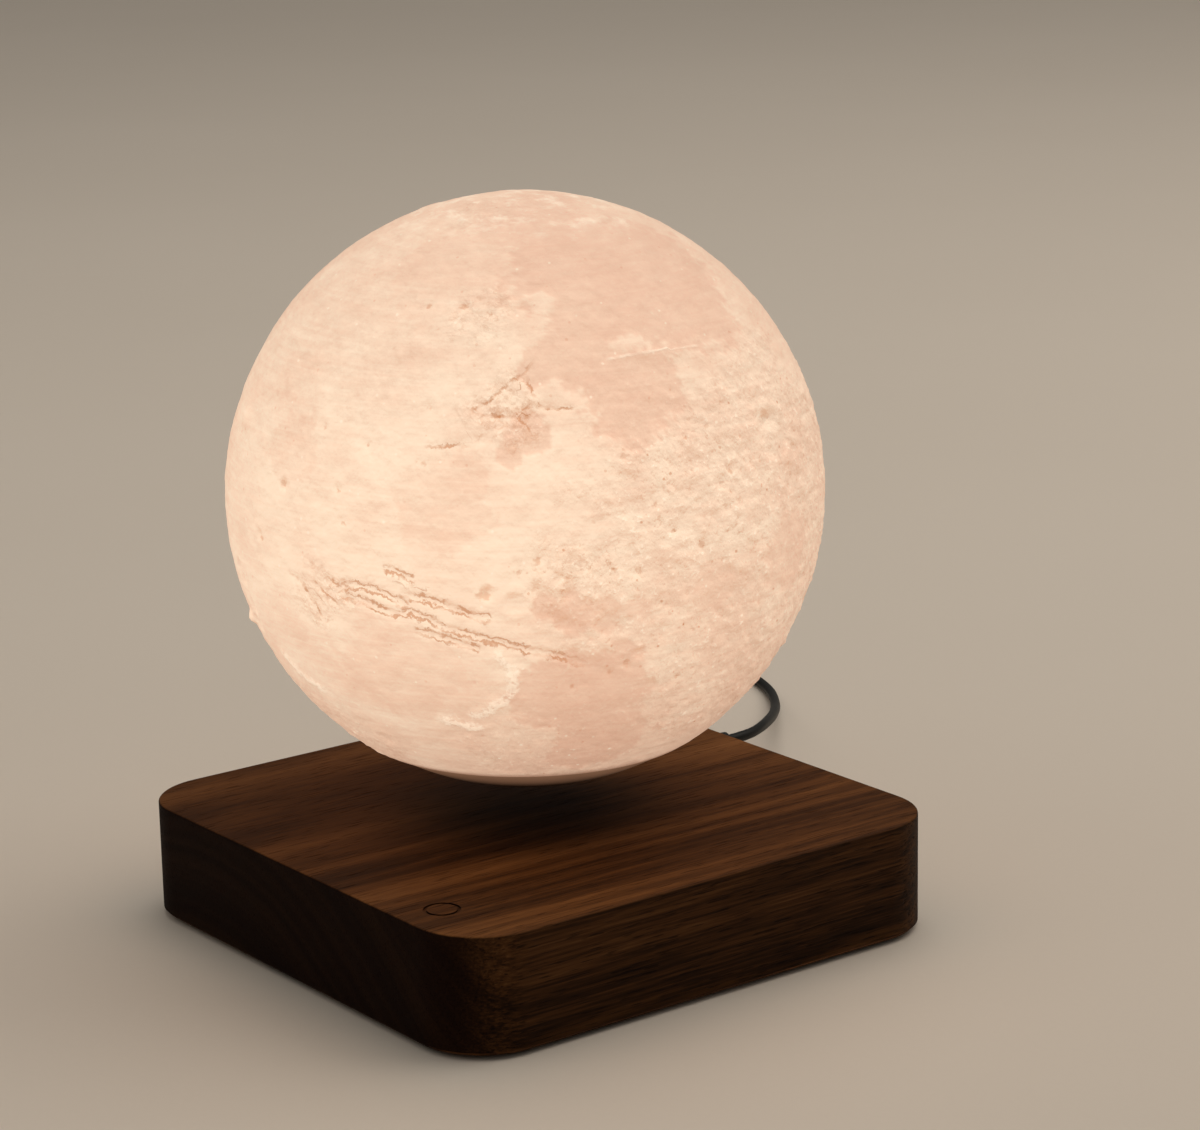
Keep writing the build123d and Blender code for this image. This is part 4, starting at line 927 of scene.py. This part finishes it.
def globe_faces(rows, start):
    """Faces of the sides, and of the top patch whose own points begin at start."""
    n = SIDE_COLUMNS
    columns = 4 * n
    faces = []
    for row in range(rows):
        for column in range(columns):
            after = (column + 1) % columns
            upper, lower = row * columns, (row + 1) * columns
            faces.append((upper + column, lower + column, lower + after, upper + after))

    def patch_point(p, q):
        if p == n:
            return q % columns
        if q == n:
            return n + (n - p)
        if p == 0:
            return 2 * n + (n - q)
        if q == 0:
            return 3 * n + p
        return start + (p - 1) * (n - 1) + q - 1

    for p in range(n):
        for q in range(n):
            corners = ((p, q), (p + 1, q), (p + 1, q + 1), (p, q + 1))
            faces.append(tuple(patch_point(*corner) for corner in corners))
    return faces


def fractal(points, scale, octaves, seed, smoothness=0.9):
    """Cloudy heights about zero."""
    shift = Vector((seed, 2.0 * seed, -seed))
    return np.array([noise.fractal(Vector(p) * scale + shift, smoothness, 2.0, octaves) for p in points])


def smooth(value, low, high):
    """0 at low and 1 at high, with a smooth step between."""
    share = np.clip((value - low) / (high - low), 0.0, 1.0)
    return share * share * (3 - 2 * share)


def angle_from(points, longitude, latitude):
    """Angle in radians from a place on the globe to each point."""
    return np.arccos(np.clip(points @ direction(longitude, latitude), -1.0, 1.0))


def spots(points, places, ragged, outer=1.05, inner=0.94):
    """How far each point lies in any of some round places, with ragged edges: 0 outside and 1 inside."""
    inside = np.zeros(len(points))
    for longitude, latitude, radius, strength in places:
        away = np.degrees(angle_from(points, longitude, latitude))
        inside = np.maximum(inside, strength * smooth(away / radius + ragged, outer, inner))
    return inside


def stroke_distance(points, routes):
    """Signed distance in millimetres to the nearest route, and 1 along it with a fall to 0 at its ends."""
    nearest = np.full(len(points), NO_STROKE)
    opened = np.zeros(len(points))
    for route in routes:
        spots_on = [direction(*place) * GLOBE_RADIUS for place in route]
        lengths = [np.linalg.norm(b - a) for a, b in zip(spots_on, spots_on[1:])]
        total = sum(lengths)
        gone = 0.0
        for a, b, length in zip(spots_on, spots_on[1:], lengths):
            search = math.cos((length + STROKE_SEARCH) / GLOBE_RADIUS)
            near = np.flatnonzero(points @ (a / GLOBE_RADIUS) > search)
            offset = points[near] * GLOBE_RADIUS - a
            run = (b - a) / length
            along = offset @ run
            held = np.clip(along, 0.0, length)
            away = np.linalg.norm(offset - held[:, None] * run, axis=1)
            side = np.sign(np.cross(run, offset) @ (a + b))
            closer = away < np.abs(nearest[near])
            chosen = near[closer]
            nearest[chosen] = (side * away)[closer]
            place = (gone + along)[closer]
            ends = smooth(place, 0.0, STROKE_END_FADE) * smooth(total - place, 0.0, STROKE_END_FADE)
            opened[chosen] = ends * smooth(away[closer], *STROKE_SIDE_FADE)
            gone += length
    return nearest, opened


def crater_heights(points, rough):
    """Bowls with raised walls, mostly in the highlands."""
    draw = np.random.default_rng(CRATER_SEED)
    height = np.zeros(len(points))
    chosen = [(direction(*place), radius, 0.0, PLACED_STRENGTH) for *place, radius in CRATERS]
    for _ in range(CRATER_COUNT):
        middle = draw.normal(size=3)
        middle /= np.linalg.norm(middle)
        radius = min(CRATER_SMALLEST + CRATER_SPREAD * draw.pareto(CRATER_RARITY), CRATER_LARGEST)
        chosen.append((middle, radius, draw.random(), RANDOM_STRENGTH))
    for middle, radius, chance, strength in chosen:
        close = points @ middle
        here = np.flatnonzero(close > math.cos(CRATER_REACH * radius / GLOBE_RADIUS))
        if not len(here) or chance > 0.10 + 0.90 * rough[here].mean():
            continue
        away = np.arccos(np.clip(close[here], -1.0, 1.0)) * GLOBE_RADIUS / radius
        bowl = -BOWL_DEPTH * np.clip(1.0 - away * away, 0.0, 1.0)
        wall = WALL_HEIGHT * np.exp(-(((away - WALL_PLACE) / WALL_WIDTH) ** 2))
        height[here] += (bowl + wall) * min(radius, DEEPEST_RADIUS) * strength
    return height


def relief_fields(points):
    """The relief's height in millimetres at each point, and the numbers that its finish reads."""
    ragged = fractal(points, 7.0, 6, 3.0, 0.45) * 0.36
    plain = spots(points, PLAINS, ragged)
    rough = spots(points, HIGHLANDS, ragged * 0.8, 1.30, 0.62)
    rough *= 1 - 0.7 * np.minimum(plain, 1.0)
    maze = spots(points, MAZES, ragged * 1.2, 1.20, 0.70)
    coarse = fractal(points, 16.0, 5, 21.0)
    grain = fractal(points, 46.0, 4, 33.0)
    relief = coarse * (0.13 + 0.17 * rough) + grain * (0.06 + 0.24 * rough + 0.16 * maze)
    relief += crater_heights(points, rough)
    for longitude, latitude, radius, tall in MOUNTS:
        away = angle_from(points, longitude, latitude) * GLOBE_RADIUS / radius
        relief += tall * np.exp(-away * away * 1.6)
    pock = np.zeros(len(points))
    for longitude, latitude, radius in POCKS:
        away = angle_from(points, longitude, latitude) * GLOBE_RADIUS / radius
        pock = np.maximum(pock, np.exp(-away * away * 0.8))
    stored = {"plain": plain, "rough": rough, "maze": maze, "pock": pock}
    stored["relief"] = np.clip(relief, -1.0, 1.0)
    swell = fractal(points, 2.2, 4, 9.0) * SWELL_HEIGHT
    height = relief + swell - PLAIN_DEPTH * plain - POCK_DEPTH * pock
    for name, (routes, tall, wide) in STROKES.items():
        away, opened = stroke_distance(points, routes)
        stored["crack_" + name] = np.clip(away, -FAR_FROM_STROKE, FAR_FROM_STROKE)
        stored["on_" + name] = opened
        height += tall * opened * np.exp(-((away / wide) ** 2))
    return height, stored


def inner_profile():
    """The ledge and the inner wall: radius and height from the globe's middle, from the opening up."""
    rim_height = -math.sqrt(GLOBE_RADIUS**2 - RIM_RADIUS**2)
    inside = GLOBE_RADIUS - SHELL_WALL
    ledge_latitude = math.asin((rim_height + LEDGE_THICK) / inside)
    profile = [(OPENING_RADIUS, rim_height), (OPENING_RADIUS, rim_height + LEDGE_THICK)]
    for row in range(INNER_ROWS):
        climb = ledge_latitude + (math.pi / 2 - ledge_latitude) * row / INNER_ROWS
        profile.append((inside * math.cos(climb), inside * math.sin(climb)))
    return profile


def inner_faces(rim, first, rings):
    """Faces from the rim through the inner rings, whose points begin at first, to the pole after them."""
    columns = 4 * SIDE_COLUMNS
    starts = [rim] + [first + ring * columns for ring in range(rings)]
    pole = first + rings * columns
    faces = []
    for lower, upper in zip(starts, starts[1:]):
        for column in range(columns):
            after = (column + 1) % columns
            faces.append((lower + column, upper + column, upper + after, lower + after))
    for column in range(columns):
        faces.append((starts[-1] + column, pole, starts[-1] + (column + 1) % columns))
    return faces


def make_globe():
    """The relief globe: a skin that follows the relief, closed inside by a ledge and a smooth wall."""
    rim_latitude = -math.acos(RIM_RADIUS / GLOBE_RADIUS)
    rows, sides, patch = globe_directions(rim_latitude)
    points = np.concatenate([sides, patch])
    height, stored = relief_fields(points)
    height *= smooth(np.arcsin(points[:, 2]), rim_latitude, rim_latitude + RIM_FADE)
    outer = points * (GLOBE_RADIUS + height)[:, None]

    columns = 4 * SIDE_COLUMNS
    turn = np.linspace(-math.pi / 4, 7 * math.pi / 4, columns + 1)[:-1]
    profile = inner_profile()
    rings = [np.stack([r * np.cos(turn), r * np.sin(turn), np.full(columns, h)], -1) for r, h in profile]
    pole = [[0.0, 0.0, GLOBE_RADIUS - SHELL_WALL]]
    everything = np.concatenate([outer, *rings, pole])
    everything[:, 2] += GLOBE_MIDDLE
    faces = globe_faces(rows, len(sides)) + inner_faces(rows * columns, len(points), len(profile))

    mesh = bpy.data.meshes.new("globe_relief")
    mesh.from_pydata((everything * MM).tolist(), [], faces)
    mesh.polygons.foreach_set("use_smooth", np.ones(len(faces), bool))
    smooth_inside = np.zeros(len(everything) - len(points))
    for name, values in stored.items():
        kept = mesh.attributes.new(name, "FLOAT", "POINT")
        kept.data.foreach_set("value", np.concatenate([values, smooth_inside]).astype(np.float32))
    mesh.validate()
    mesh.update()
    globe = bpy.data.objects.new("globe_relief", mesh)
    bpy.context.scene.collection.objects.link(globe)
    dress(globe, "relief_plastic")
    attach(globe, "globe")
    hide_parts("globe_shell")


make_globe()


FLOOR_SIDE = 24.0
SOFT_WHITE = (1.0, 0.95, 0.88)
SOFT_WARM = (1.0, 0.92, 0.82)
# Round lights that face down: name, place, size, power and colour
STUDIO_LIGHTS = (
    ("soft_left", (-0.55, -1.25, 1.15), 1.3, 1.7, SOFT_WHITE),
    ("soft_back", (0.7, 1.6, 1.7), 1.8, 13.0, SOFT_WARM),
    ("soft_top", (-0.2, 0.5, 1.9), 1.6, 9.5, SOFT_WHITE),
)
SKY_POWER = 0.40
SKY_ANGLE = 120.0
ROOM_COLOUR = (0.90, 0.86, 0.80, 1.0)
ROOM_LIGHT = 0.15


def make_stage():
    """A plain pale floor and soft studio light."""
    f = Finish("pale_floor", Specular_IOR_Level=0.2)
    cloud = f.clouds(f.place, 3.0, 4.0)
    speck = f.clouds(f.place, 600.0, 2.0)
    pale = f.finish(
        Base_Color=f.blend(cloud * 0.7 + speck * 0.3, (0.72, 0.64, 0.55), (0.78, 0.70, 0.61)),
        Roughness=0.62 + 0.1 * speck,
    )
    mesh = bpy.data.meshes.new("floor")
    half = FLOOR_SIDE / 2
    corners = [(-half, -half, 0), (half, -half, 0), (half, half, 0), (-half, half, 0)]
    mesh.from_pydata(corners, [], [(0, 1, 2, 3)])
    floor = bpy.data.objects.new("floor", mesh)
    floor.data.materials.append(pale)
    bpy.context.scene.collection.objects.link(floor)

    for name, place, size, power, colour in STUDIO_LIGHTS:
        data = bpy.data.lights.new(name, "AREA")
        data.shape = "DISK"
        data.size = size
        data.energy = power
        data.color = colour
        lamp = bpy.data.objects.new(name, data)
        lamp.location = place
        bpy.context.scene.collection.objects.link(lamp)
    sky = bpy.data.lights.new("soft_sky", "SUN")
    sky.energy = SKY_POWER
    sky.angle = math.radians(SKY_ANGLE)
    sky.color = SOFT_WHITE
    bpy.context.scene.collection.objects.link(bpy.data.objects.new("soft_sky", sky))
    world = bpy.data.worlds.new("studio")
    world.use_nodes = True
    background = world.node_tree.nodes["Background"]
    background.inputs["Color"].default_value = ROOM_COLOUR
    background.inputs["Strength"].default_value = ROOM_LIGHT
    bpy.context.scene.world = world
    bpy.context.scene.view_settings.view_transform = "Standard"


make_stage()
